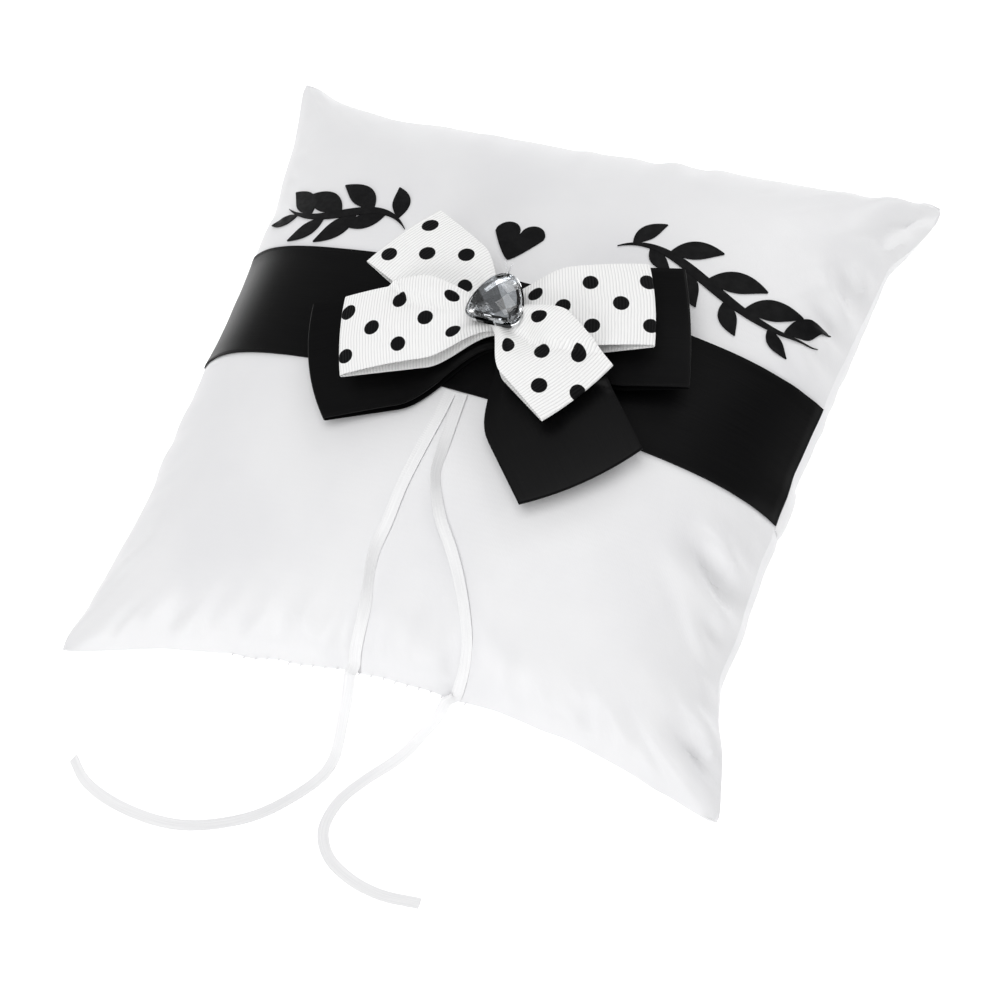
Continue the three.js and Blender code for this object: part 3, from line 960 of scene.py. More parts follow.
@dataclass
class Cushion:
    """The stuffed satin pillow: two panels sewn together round a soft filling."""

    workshop: Workshop
    cells: int = 96
    half: float = 100.0
    seam_height: float = 28.0
    corner_droop: float = 12.0
    crown: float = 29.0
    belly: float = 32.0
    cut_side: float = 209.0
    cover_wall: float = 0.6
    frames: int = 22
    solver_scale: float = 10.0
    pucker_length: float = 15.0
    pucker_pitch: float = 10.5
    seam_wave: float = 0.25
    tip_round: float = 0.02
    seam_tuck: float = 0.1
    sides: dict[Side, SideShape] = field(
        default_factory=lambda: {
            Side.LEFT: SideShape(
                (
                    (-1, -0.9), (-0.8, 5.5), (-0.5, 10.5), (-0.3, 11), (0.1, 13), (0.5, 11), (0.8, 5), (1, -2.3),
                ),
                0.4, 0.3,
            ),
            Side.RIGHT: SideShape(
                (
                    (-1, -2.4), (-0.9, 0.8), (-0.8, 3.2), (-0.7, 8.2), (-0.62, 11.4), (-0.5, 9.4), (-0.3, 9.8),
                    (0, 9.2), (0.2, 8.4), (0.4, 7.8), (0.55, 6.8), (0.66, 6.8), (0.75, 6.2), (0.82, 1.2),
                    (0.9, -0.8), (1, -2.1),
                ),
                0.7, 0.8,
            ),
            Side.TOP: SideShape(
                (
                    (-1, -0.4), (-0.85, 6.8), (-0.6, 11.5), (-0.1, 12.3), (0.15, 11), (0.4, 7.4), (0.7, 4.4),
                    (0.88, 1.6), (1, -1.9),
                ),
                0.3, 0.2,
            ),
            Side.BOTTOM: SideShape(
                ((-1, -0.9), (-0.8, 4.2), (-0.5, 8), (0, 11.5), (0.3, 10.4), (0.55, 8), (0.8, 2.6), (1, -3.1)),
                0.6, 0.3,
            ),
        }
    )
    creases: tuple[Crease, ...] = (
        Crease((80.5, 69.0), (94.0, 52.5), 3.5, 2.9),
        Crease((78.0, 53.5), (92.5, 40.5), 2.8, 2.7),
        Crease((79.0, 43.5), (91.0, 33.0), 1.5, 2.4),
        Crease((82.0, 75.0), (101.0, 95.0), 3.2, 5.0),
        Crease((88.0, 84.0), (96.0, 73.0), 2.3, 2.6),
        Crease((84.0, 76.5), (95.5, 64.0), 1.2, 2.4),
        Crease((69.0, -30.0), (89.5, -43.0), 4.5, 3.4),
        Crease((81.0, -27.0), (90.5, -34.5), 2.7, 2.6),
        Crease((81.0, -49.0), (91.0, -58.0), 2.8, 2.6),
        Crease((84.0, -60.0), (92.0, -66.0), 1.5, 2.4),
        Crease((84.0, -71.0), (97.0, -76.0), 1.2, 2.5),
        Crease((78.0, -80.0), (99.0, -90.0), 3.3, 3.2),
        Crease((2.0, -52.0), (21.0, -84.0), 1.8, 6.2),
        Crease((58.0, -82.0), (66.0, -93.0), 1.2, 3.2),
        Crease((40.0, -81.0), (44.0, -92.0), 0.9, 2.8),
        Crease((-30.0, -80.0), (-26.0, -91.0), 1.1, 2.9),
        Crease((-62.0, -80.0), (-66.0, -92.0), 1.1, 3.0),
        Crease((-78.0, -62.0), (-89.0, -70.0), 1.1, 3.0),
        Crease((-74.0, 52.0), (-88.0, 58.0), 1.0, 3.0),
        Crease((36.0, 80.0), (31.0, 91.0), 0.9, 3.0),
    )
    wall_push: float = 4.6
    wall_reach: float = 7.0
    front: Grid = field(init=False)
    back: Grid = field(init=False)
    front_normals: Grid = field(init=False)

    def _shares(self) -> tuple[Grid, Grid]:
        """Panel shares from -1 to 1 at every point of a panel."""
        share = np.linspace(-1.0, 1.0, self.cells + 1)
        return np.meshgrid(share, share, indexing="ij")

    def _seam_waves(self, count: int, seed: int) -> np.ndarray:
        """Small waves of a seam along its side, gone at the corners."""
        generator = np.random.default_rng(seed)
        waves = soft_noise(count, 14.0, 2 * self.half, generator)
        share = np.linspace(-1.0, 1.0, count)
        return self.seam_wave * waves * (1 - share**8)

    def _pull(self, share: np.ndarray, side: Side) -> np.ndarray:
        """How far a side is drawn in along its length, its knots joined by a smooth line."""
        line = np.interp(share, *np.array(self.sides[side].pulls).T)
        for _ in range(6):
            line[1:-1] = 0.5 * line[1:-1] + 0.25 * (line[2:] + line[:-2])
        return line

    def _start_shape(self, face: int) -> Grid:
        """Shape of a panel before it is filled, face being 1 for the front and -1 for the back."""
        u, v = self._shares()
        share = v[0]
        pulls = {}
        for seed, side in enumerate(Side):
            pulls[side] = self._pull(share, side) + self._seam_waves(len(share), 11 + seed)
        draw_x = (pulls[Side.RIGHT][None, :] * (1 + u) + pulls[Side.LEFT][None, :] * (1 - u)) / 2
        draw_y = (pulls[Side.TOP][:, None] * (1 + v) + pulls[Side.BOTTOM][:, None] * (1 - v)) / 2
        tip = 1 - self.tip_round * (u * v) ** 40
        x = u * (self.half - draw_x) * tip
        y = v * (self.half - draw_y) * tip
        seam = self.seam_height - self.corner_droop * (u * v) ** 2
        for seed, side in enumerate(Side):
            waves = self._seam_waves(len(share), 21 + seed)
            along = waves[None, :] if side.upright else waves[:, None]
            seam = seam + along * np.clip(side.towards(u, v), 0, 1) ** 6
        swell = np.sqrt(np.maximum(0.0, (1 - u * u) * (1 - v * v)))
        height = self.crown if face > 0 else -self.belly
        z = seam + height * swell
        z += face * self._puckers(u, v)
        z = np.maximum(z, 0.9)
        return np.stack([x, y, z], axis=-1)

    def _puckers(self, u: np.ndarray, v: np.ndarray) -> np.ndarray:
        """Small folds that start at each seam and run inwards at a slant."""
        total = np.zeros_like(u)
        for seed, side in enumerate(Side):
            shape = self.sides[side]
            inward = (1 - side.towards(u, v)) * self.half
            along = (v if side.upright else u) * self.half
            generator = np.random.default_rng(31 + seed)
            place = along - shape.slant * inward
            drift = soft_noise(401, 30.0, 2 * self.half, generator)
            strength = soft_noise(401, 18.0, 2 * self.half, generator)
            axis = np.linspace(-self.half, self.half, 401)
            phase = np.interp(place, axis, drift) * 1.6
            loud = np.clip(0.75 + 0.55 * np.interp(place, axis, strength), 0.0, 2.0)
            fold = np.sin(2 * math.pi * place / self.pucker_pitch + phase)
            fade = np.exp(-((inward / self.pucker_length) ** 2)) * np.clip(inward / 3.0, 0.0, 1.0)
            total += shape.pucker * loud * fold * fade
        return total

    def _flat_cut(self, face: int) -> Grid:
        """The panel as it was cut, square and flat."""
        u, v = self._shares()
        lift = np.where((np.abs(u) < 1) & (np.abs(v) < 1), 3.0 * face, 0.0)
        return np.stack([u * self.cut_side / 2, v * self.cut_side / 2, self.seam_height + lift], axis=-1)

    def _fill(self) -> None:
        """Blow the two panels up against each other with cloth simulation, their common seam held."""
        panels = [self._start_shape(1), self._start_shape(-1)]
        cuts = [self._flat_cut(1), self._flat_cut(-1)]
        count = self.cells + 1
        front_index = np.arange(count * count).reshape(count, count)
        back_index = front_index.copy()
        inner = np.zeros((count, count), dtype=bool)
        inner[1:-1, 1:-1] = True
        back_index[inner] = count * count + np.arange(inner.sum())
        start = np.vstack([panels[0].reshape(-1, 3), panels[1][inner]])
        cut = np.vstack([cuts[0].reshape(-1, 3), cuts[1][inner]])
        faces = index_faces(front_index) + index_faces(back_index, turned=True)
        body = mesh_object("cushion_solver", start * self.solver_scale, faces)
        body.shape_key_add(name="Basis")
        pattern = body.shape_key_add(name="cut")
        pattern.data.foreach_set("co", (cut * self.solver_scale * MM).astype(np.float32).ravel())
        pattern.value = 0.0
        held = body.vertex_groups.new(name="seam")
        held.add(front_index[~inner].tolist(), 1.0, "REPLACE")
        table = self._solver_table()
        self._cloth_settings(body, pattern)
        scene = bpy.context.scene
        scene.frame_start, scene.frame_end = 1, self.frames
        for step in range(1, self.frames + 1):
            scene.frame_set(step)
        evaluated = body.evaluated_get(bpy.context.evaluated_depsgraph_get())
        moved = np.empty(len(body.data.vertices) * 3, dtype=np.float32)
        evaluated.data.vertices.foreach_get("co", moved)
        moved = moved.reshape(-1, 3).astype(float) / (self.solver_scale * MM)
        self.front = moved[front_index]
        self.back = moved[back_index]
        for helper in (body, table):
            data = helper.data
            bpy.data.objects.remove(helper)
            bpy.data.meshes.remove(data)
        scene.frame_set(1)

    def _solver_table(self) -> bpy.types.Object:
        """The table that the filling pillow lies on."""
        table = flat_square("cushion_solver_table", 150.0 * self.solver_scale)
        table.modifiers.new("Collision", "COLLISION")
        table.collision.thickness_outer = 0.5 * MM * self.solver_scale
        return table

    def _cloth_settings(self, body: bpy.types.Object, pattern: bpy.types.ShapeKey) -> None:
        """Give the solver's body the stiffness of satin and the pressure of its filling."""
        modifier = body.modifiers.new("Cloth", "CLOTH")
        cloth = modifier.settings
        stiffness = {"tension": 300.0, "compression": 80.0, "shear": 50.0, "bending": 0.03}
        for strain, value in stiffness.items():
            setattr(cloth, f"{strain}_stiffness", value)
            setattr(cloth, f"{strain}_damping", 1.0 if strain == "bending" else 5.0)
        cloth.quality = 8
        cloth.mass = 0.02
        cloth.air_damping = 3.0
        cloth.use_pressure = True
        cloth.uniform_pressure_force = 12.0
        cloth.vertex_group_mass = "seam"
        cloth.effector_weights.gravity = 0.0
        cloth.rest_shape_key = pattern
        modifier.collision_settings.use_collision = True
        modifier.collision_settings.use_self_collision = False
        modifier.collision_settings.distance_min = 0.5 * MM * self.solver_scale
        modifier.point_cache.frame_start = 1
        modifier.point_cache.frame_end = self.frames

    def shape(self, band_share: Callable[[np.ndarray, np.ndarray], np.ndarray]) -> None:
        """Find the pillow's final surface.

        Args:
            band_share: how much of the band's pull there is at panel shares, from 0 to 1.
        """
        self._fill()
        u, v = self._shares()
        self.front = self.front + self._creased(self.front, grid_normals(self.front))
        self.back[..., 0] += self._wall(u, v)
        pressed = band_share(u, v)[..., None]
        self.front = self.front * (1 - pressed) + blurred(self.front, 40) * pressed
        self.front_normals = blurred(grid_normals(self.front), 2)
        LOG.info("cushion: crown %.1f mm, lowest %.1f mm", self.front[..., 2].max(), self.back[..., 2].min())

    def _creased(self, surface: Grid, normals: Grid) -> Grid:
        """How far each fold moves the front panel: a valley, with the cloth it frees heaped beside it."""
        moved = np.zeros(surface.shape[:2])
        rim = np.ones_like(moved)
        rim[:, [0, -1]] = rim[[0, -1]] = 0.0
        rim[[1, -2], 1:-1] = rim[1:-1, [1, -2]] = 0.55
        for crease in self.creases:
            start, end = np.array(crease.start), np.array(crease.end)
            length = np.linalg.norm(end - start)
            forward = (end - start) / length
            off = surface[..., :2] - start
            along = off @ forward / length
            beside = (off @ np.array([-forward[1], forward[0]])) / crease.width
            strength = smooth_step(along / 0.7) * smooth_step((1.35 - along) / 0.35)
            valley = -np.exp(-(beside**2))
            ridge = 0.75 * np.exp(-((beside - 1.9) ** 2)) + 0.3 * np.exp(-((beside + 2.0) ** 2))
            moved += crease.depth * strength * (valley + ridge)
        return normals * (moved * rim)[..., None]

    def _wall(self, u: np.ndarray, v: np.ndarray) -> np.ndarray:
        """How far the back panel stands out under the right seam, where the filling rounds the side."""
        inward = (1 - u) * self.half / self.wall_reach
        return self.wall_push * inward * np.exp(1 - inward) * (1 - np.abs(v) ** 3)

    def sample(self, grid: Grid, s: np.ndarray, t: np.ndarray) -> np.ndarray:
        """Read a grid at panel shares from -1 to 1, blending between its points."""
        i = np.clip((s + 1) / 2 * self.cells, 0, self.cells - 1e-6)
        j = np.clip((t + 1) / 2 * self.cells, 0, self.cells - 1e-6)
        return bilinear(grid, i, j)

    def share_at(self, x: np.ndarray, y: np.ndarray) -> tuple[np.ndarray, np.ndarray]:
        """Find the panel shares of the front panel above plan places."""
        s, t = x / self.half, y / self.half
        for _ in range(24):
            here = self.sample(self.front, s, t)
            s = np.clip(s + (x - here[..., 0]) / self.half, -1.0, 1.0)
            t = np.clip(t + (y - here[..., 1]) / self.half, -1.0, 1.0)
        return s, t

    def off_front(self, s: np.ndarray, t: np.ndarray, distance: np.ndarray | float) -> np.ndarray:
        """Points that stand off the front panel along its normal."""
        normal = self.sample(self.front_normals, s, t)
        normal = normal / np.linalg.norm(normal, axis=-1, keepdims=True)
        gap = np.asarray(distance)
        return self.sample(self.front, s, t) + normal * (gap[..., None] if gap.ndim else gap)

    def above(self, x: np.ndarray, y: np.ndarray, distance: np.ndarray | float) -> np.ndarray:
        """Points over plan places that stand off the front panel."""
        s, t = self.share_at(x, y)
        return self.off_front(s, t, distance)

    def build(self) -> None:
        """Make the two panels and the filling."""
        front = self._panel("cushion_front_panel", self.front, 1)
        back = self._panel("cushion_back_panel", self.back, -1)
        filling = self._filling()
        for panel, node in ((front, "front_panel"), (back, "back_panel")):
            self.workshop.settle(panel, "white_satin", "white_satin", [node])
        self.workshop.settle(filling, "fibre_filling", "fibre_filling", ["fibre_filling"])

    def _panel(self, name: str, outer: Grid, face: int) -> bpy.types.Object:
        """Make one panel as a thin closed cover, its seam edge turned in a little."""
        surface = outer.copy()
        inward = np.zeros_like(surface)
        inward[..., :2] = -surface[..., :2] / self.half
        rim = np.ones(surface.shape[:2], dtype=bool)
        rim[1:-1, 1:-1] = False
        surface[rim] += self.seam_tuck * inward[rim]
        normal = grid_normals(surface) * face
        inner = surface - normal * self.cover_wall
        layers = [surface, inner] if face > 0 else [inner, surface]
        panel = layered_object(name, *layers)
        sharp = np.zeros(len(panel.data.edges), dtype=bool)
        panel.data.attributes["sharp_edge"].data.foreach_get("value", sharp)
        crease = panel.data.attributes.new("crease_edge", "FLOAT", "EDGE")
        crease.data.foreach_set("value", sharp.astype(np.float32))
        finer = panel.modifiers.new("Subdivision", "SUBSURF")
        finer.levels = finer.render_levels = 1
        return panel

    def _filling(self) -> bpy.types.Object:
        """Make the filling, a closed lump that stays clear inside the cover."""
        trim = slice(4, -4, 2)
        top = (self.front - grid_normals(self.front) * 1.6)[trim, trim]
        bottom = (self.back + grid_normals(self.back) * 1.6)[trim, trim]
        middle = (top + bottom) / 2
        top = np.where((top - bottom)[..., 2:] > 1.0, top, middle + [0.0, 0.0, 0.5])
        bottom = np.where((top - bottom)[..., 2:] > 1.0, bottom, middle - [0.0, 0.0, 0.5])
        return layered_object("cushion_filling", top, bottom)


@dataclass
class ClosingStitches:
    """Slanted hand stitches that close the gap left in the bottom seam for the filling."""

    workshop: Workshop
    cushion: Cushion
    start_x: float = -46.0
    end_x: float = 26.0
    spacing: float = 3.4
    stitch_length: float = 2.2
    thread_radius: float = 0.2
    slant: float = 0.5

    def _tree(self, material: bpy.types.Material) -> bpy.types.NodeTree:
        """Build the node tree that sets a short thread across the seam at even steps."""
        tree = bpy.data.node_groups.new("closing_stitches", "GeometryNodeTree")
        sockets = tree.interface
        sockets.new_socket("Geometry", in_out="INPUT", socket_type="NodeSocketGeometry")
        for name in ("Spacing", "Stitch length", "Thread radius", "Slant"):
            sockets.new_socket(name, in_out="INPUT", socket_type="NodeSocketFloat")
        sockets.new_socket("Geometry", in_out="OUTPUT", socket_type="NodeSocketGeometry")
        build = NodeBuilder(tree)
        entry, leave = build.node("NodeGroupInput"), build.node("NodeGroupOutput")
        line = build.node("GeometryNodeMeshToCurve")
        build.feed(line.inputs["Mesh"], entry.outputs["Geometry"])
        points = build.node("GeometryNodeCurveToPoints", mode="LENGTH")
        build.feed(points.inputs["Curve"], line.outputs[0])
        build.feed(points.inputs["Length"], entry.outputs["Spacing"])
        thread = build.node("GeometryNodeMeshUVSphere")
        build.feed(thread.inputs["Segments"], 8)
        build.feed(thread.inputs["Rings"], 6)
        build.feed(thread.inputs["Radius"], 1.0)
        stretch = build.node("ShaderNodeCombineXYZ")
        build.feed(stretch.inputs[0], entry.outputs["Thread radius"])
        build.feed(stretch.inputs[1], entry.outputs["Thread radius"])
        build.feed(stretch.inputs[2], build.math("MULTIPLY", entry.outputs["Stitch length"], 0.5))
        tilt = build.node("ShaderNodeCombineXYZ")
        wander = build.node("FunctionNodeRandomValue", data_type="FLOAT")
        wander.inputs["Seed"].default_value = 5
        build.feed(wander.inputs[2], -0.18)
        build.feed(wander.inputs[3], 0.18)
        build.feed(tilt.inputs[1], build.math("ADD", entry.outputs["Slant"], wander.outputs[1]))
        copies = build.node("GeometryNodeInstanceOnPoints")
        build.feed(copies.inputs["Points"], points.outputs["Points"])
        build.feed(copies.inputs["Instance"], thread.outputs["Mesh"])
        build.feed(copies.inputs["Scale"], stretch.outputs[0])
        build.feed(copies.inputs["Rotation"], tilt.outputs[0])
        real = build.node("GeometryNodeRealizeInstances")
        build.feed(real.inputs[0], copies.outputs[0])
        dress = build.node("GeometryNodeSetMaterial")
        dress.inputs["Material"].default_value = material
        build.feed(dress.inputs["Geometry"], real.outputs[0])
        build.feed(leave.inputs[0], dress.outputs[0])
        return tree

    def build(self) -> None:
        """Make the stitches as one plain mesh."""
        seam = self.cushion.front[:, 0]
        x = np.arange(self.start_x, self.end_x, 1.5)
        line = np.stack([x, np.interp(x, seam[:, 0], seam[:, 1]) - 0.25, np.interp(x, seam[:, 0], seam[:, 2])], axis=-1)
        guide = mesh_object("closing_stitch_guide", line, [])
        guide.data.edges.add(len(line) - 1)
        pairs = np.stack([np.arange(len(line) - 1), np.arange(1, len(line))], axis=-1)
        guide.data.edges.foreach_set("vertices", pairs.ravel())
        guide.data.update()
        finish = self.workshop.finishes.made["sewing_thread"]
        tree = self._tree(finish)
        modifier = guide.modifiers.new("Stitches", "NODES")
        modifier.node_group = tree
        values = {
            "Spacing": self.spacing * MM,
            "Stitch length": self.stitch_length * MM,
            "Thread radius": self.thread_radius * MM,
            "Slant": self.slant,
        }
        sockets = {item.name: item.identifier for item in tree.interface.items_tree if item.in_out == "INPUT"}
        for name, value in values.items():
            modifier[sockets[name]] = value
        evaluated = guide.evaluated_get(bpy.context.evaluated_depsgraph_get())
        mesh = bpy.data.meshes.new_from_object(evaluated)
        mesh.name = "closing_stitches"
        stitches = linked("closing_stitches", mesh)
        mesh.polygons.foreach_set("use_smooth", [True] * len(mesh.polygons))
        bpy.data.objects.remove(guide)
        self.workshop.settle(stitches, "sewing_thread", "sewing_thread")


# ---------------------------------------------------------------------------------------------------------------
# Ribbons on the pillow
# ---------------------------------------------------------------------------------------------------------------


def seam_to_seam(columns: int, rows: int, width: float) -> tuple[Grid, Grid]:
    """Panel shares and places across for a ribbon between the side seams, its columns closer near them."""
    shares = np.sin(np.linspace(-math.pi / 2, math.pi / 2, columns + 1)) * SEAM_REACH
    return np.meshgrid(shares, np.linspace(-width / 2, width / 2, rows + 1), indexing="ij")


@dataclass
class FrontBand:
    """Wide black satin ribbon stretched across the front, its ends sewn into the side seams."""

    workshop: Workshop
    width: float = 38.0
    middle: float = 7.0
    slope: float = -0.045
    half: float = 100.0
    pull: float = 12.0
    thickness: float = 0.35
    lift: float = 0.35
    columns: int = 150
    rows: int = 16

    def _panel_line(self, s: np.ndarray, across: np.ndarray) -> np.ndarray:
        """Panel share across the pillow of a point on the band."""
        y = self.middle + self.slope * s * (self.half - self.pull) + across
        return y / (self.half - self.pull * (1 - s * s))

    def share(self, s: np.ndarray, t: np.ndarray) -> np.ndarray:
        """How firmly the band holds the cover down at panel shares."""
        line = self.middle + self.slope * s * (self.half - self.pull)
        off = np.abs(t * (self.half - self.pull * (1 - s * s)) - line)
        return smooth_step((self.width / 2 + 2.5 - off) / 4.0)

    def build(self, cushion: Cushion) -> None:
        """Make the band over the finished cushion."""
        s_grid, across_grid = seam_to_seam(self.columns, self.rows, self.width)
        t_grid = self._panel_line(s_grid, across_grid)
        edge_lift = 0.12 * (np.abs(across_grid) / (self.width / 2)) ** 6
        ends = smooth_step((1 - np.abs(s_grid)) / 0.02)
        points = cushion.off_front(s_grid, t_grid, (self.lift + edge_lift) * (0.35 + 0.65 * ends))
        uv = ribbon_places(points, across_grid)
        band = shell_object("satin_front_band", points, self.thickness, uv)
        self.workshop.settle(band, "black_satin", "black_satin", ["front_band"])


@dataclass
class HandStrap:
    """White ribbon across the back, from side seam to side seam, for a hand to slide under."""

    workshop: Workshop
    width: float = 16.0
    middle: float = -9.0
    thickness: float = 0.35
    gap: float = 0.3
    slack: float = 1.7
    slack_place: float = 0.965
    slack_spread: float = 0.022
    lowest: float = 0.22
    columns: int = 160
    rows: int = 8

    def build(self, cushion: Cushion) -> None:
        """Make the strap under the finished cushion."""
        s_grid, across_grid = seam_to_seam(self.columns, self.rows, self.width)
        t_grid = (self.middle + across_grid) / (cushion.half - 12.0 * (1 - s_grid**2))
        surface = blurred(cushion.back, 12)
        outward = -grid_normals(surface)
        bulge = self.slack * np.exp(-(((np.abs(s_grid) - self.slack_place) / self.slack_spread) ** 2))
        bulge = bulge * (1 - 0.85 * (2 * across_grid / self.width) ** 4)
        normal = cushion.sample(outward, s_grid, t_grid)
        ends = smooth_step((1 - np.abs(s_grid)) / 0.01)
        points = cushion.sample(surface, s_grid, t_grid) + normal * ((self.gap + bulge) * ends)[..., None]
        points[..., 2] = np.maximum(points[..., 2], self.lowest)
        uv = ribbon_places(points, across_grid)
        strap = shell_object("hand_strap_ribbon", points[:, ::-1], self.thickness, uv[:, ::-1])
        self.workshop.settle(strap, "white_strap", "white_ribbon", ["hand_strap"])


@dataclass(frozen=True)
class RingRibbon:
    """One narrow satin ribbon for tying on a ring: its route in metres and how it twists along it."""

    node: str
    route: tuple[tuple[float, float, float], ...]
    twist: tuple[tuple[float, float], ...]


@dataclass
class RingRibbons:
    """The two loose ribbons, sewn down under the band."""

    workshop: Workshop
    width: float = 3.3
    thickness: float = 0.22
    packed_width: float = 3.2
    spacing: float = 1.2
    ribbons: tuple[RingRibbon, ...] = (
        RingRibbon(
            "ring_ribbon_left",
            (
                (-0.0018, -0.0126, 0.0598), (-0.0026, -0.0202, 0.0592), (-0.0044, -0.0313, 0.058),
                (-0.0061, -0.0424, 0.0563), (-0.007, -0.0535, 0.0538), (-0.008, -0.0611, 0.0516),
                (-0.0078, -0.0667, 0.0496), (-0.007, -0.0755, 0.0458), (-0.0074, -0.0822, 0.0414),
                (-0.0082, -0.0872, 0.0364), (-0.0092, -0.0908, 0.03), (-0.0108, -0.0936, 0.022),
                (-0.013, -0.0968, 0.013), (-0.0148, -0.1008, 0.0055), (-0.0158, -0.1056, 0.0022),
                (-0.0172, -0.1102, 0.0018), (-0.0214, -0.1166, 0.0017), (-0.0324, -0.1274, 0.0017),
                (-0.0512, -0.1352, 0.0017), (-0.0704, -0.1346, 0.0017), (-0.0834, -0.13, 0.0017),
                (-0.0898, -0.1242, 0.0017),
            ),
            ((0.0, 0.0), (0.2, 8.0), (0.27, 62.0), (0.33, 20.0), (0.5, 0.0), (0.8, 0.0), (1.0, 35.0)),
        ),
        RingRibbon(
            "ring_ribbon_right",
            (
                (0.0015, -0.0128, 0.0598), (0.0017, -0.0222, 0.059), (0.002, -0.0306, 0.0581),
                (0.0023, -0.037, 0.0572), (0.0038, -0.0414, 0.0565), (0.0077, -0.0492, 0.0548),
                (0.0129, -0.0562, 0.0529), (0.0173, -0.063, 0.0506), (0.0215, -0.0713, 0.0472),
                (0.0237, -0.078, 0.0436), (0.0236, -0.084, 0.0396), (0.0222, -0.0886, 0.0346),
                (0.0192, -0.0914, 0.0274), (0.0154, -0.0932, 0.019), (0.0098, -0.0954, 0.0105),
                (0.0046, -0.0986, 0.0044), (-0.0002, -0.103, 0.002), (-0.0044, -0.1078, 0.0017),
                (-0.0098, -0.1166, 0.0017), (-0.0109, -0.1256, 0.0017), (-0.007, -0.1326, 0.0017),
                (0.0008, -0.1374, 0.0017), (0.0114, -0.14, 0.0017), (0.0238, -0.1396, 0.0017),
            ),
            ((0.0, 0.0), (0.07, 20.0), (0.12, 60.0), (0.2, 12.0), (0.4, 0.0), (0.52, 25.0), (0.7, 0.0), (1.0, 0.0)),
        ),
    )

    def build(self, cushion: Cushion) -> None:
        """Lay both ribbons over the cushion and down on the table."""
        for ribbon in self.ribbons:
            self._lay(ribbon, cushion)

    def _lay(self, ribbon: RingRibbon, cushion: Cushion) -> None:
        """Make one ribbon along its route."""
        line = catmull_rom(np.array(ribbon.route) / MM, self.spacing)
        s, t = cushion.share_at(line[:, 0], line[:, 1])
        surface = cushion.sample(cushion.front, s, t)
        normal = cushion.sample(cushion.front_normals, s, t)
        inside = np.linalg.norm(surface[:, :2] - line[:, :2], axis=1) < 0.5
        on_cloth = inside & (surface[:, 2] > line[:, 2] - 8.0)
        resting = np.clip((9.0 - line[:, 2]) / 6.0, 0.0, 1.0)
        height = line[:, 2] - resting * (self.packed_width / 2 - 0.25)
        height = np.where(on_cloth, surface[:, 2] + 0.45, height)
        height[0] = height[1]
        height = running_mean(height, 2)
        height = np.where(on_cloth, np.maximum(height, surface[:, 2] + 0.35), height)
        line[:, 2] = height
        tangent = directions(line)
        level = smooth_step((12.0 - line[:, 2]) / 8.0)[:, None]
        falling = np.array([0.0, -0.92, 0.38])
        face = np.where(on_cloth[:, None], normal, falling) * (1 - level) + UPWARDS * level
        face = np.stack([running_mean(face[:, axis], 4) for axis in range(3)], axis=-1)
        side = np.cross(tangent, face)
        side /= np.linalg.norm(side, axis=1, keepdims=True)
        face = np.cross(side, tangent)
        share = np.linspace(0.0, 1.0, len(line))
        turn = running_mean(np.radians(np.interp(share, *np.array(ribbon.twist).T)), 4)[:, None]
        side = side * np.cos(turn) + face * np.sin(turn)
        lift = np.abs(np.sin(turn[:, 0])) * self.width / 2
        line = line + UPWARDS * (lift * 0.8)[:, None]
        across = np.linspace(-self.width / 2, self.width / 2, 5)
        grid = line[:, None] + side[:, None] * across[None, :, None]
        along = distances(line)
        uv = np.stack(np.meshgrid(along, across, indexing="ij"), axis=-1)
        piece = shell_object(f"{ribbon.node}_tail", grid[:, ::-1], self.thickness, uv[:, ::-1])
        self.workshop.settle(piece, "white_ribbon", "white_ribbon", [ribbon.node])
        LOG.info("%s: %.1f mm long", piece.name, along[-1])


# ---------------------------------------------------------------------------------------------------------------
# Bow
# ---------------------------------------------------------------------------------------------------------------


@dataclass(frozen=True)
class Loop:
    """One loop of the bow. Reach is from the bow's middle to the fold, direction in degrees from +X."""

    node: str
    reach: float
    direction: float
    width: float
    loft: float
    level: float
    skew: float
    dot_shift: float = 0.0
    bulge: float = 1.0
    gather: float = 0.24
    dimple: float = 0.0
    spread: float = 0.52

    @property
    def finish(self) -> str:
        """Name of the loop's finish, which is also its slot."""
        return "dotted_grosgrain" if self.node.startswith("dotted") else "black_satin"


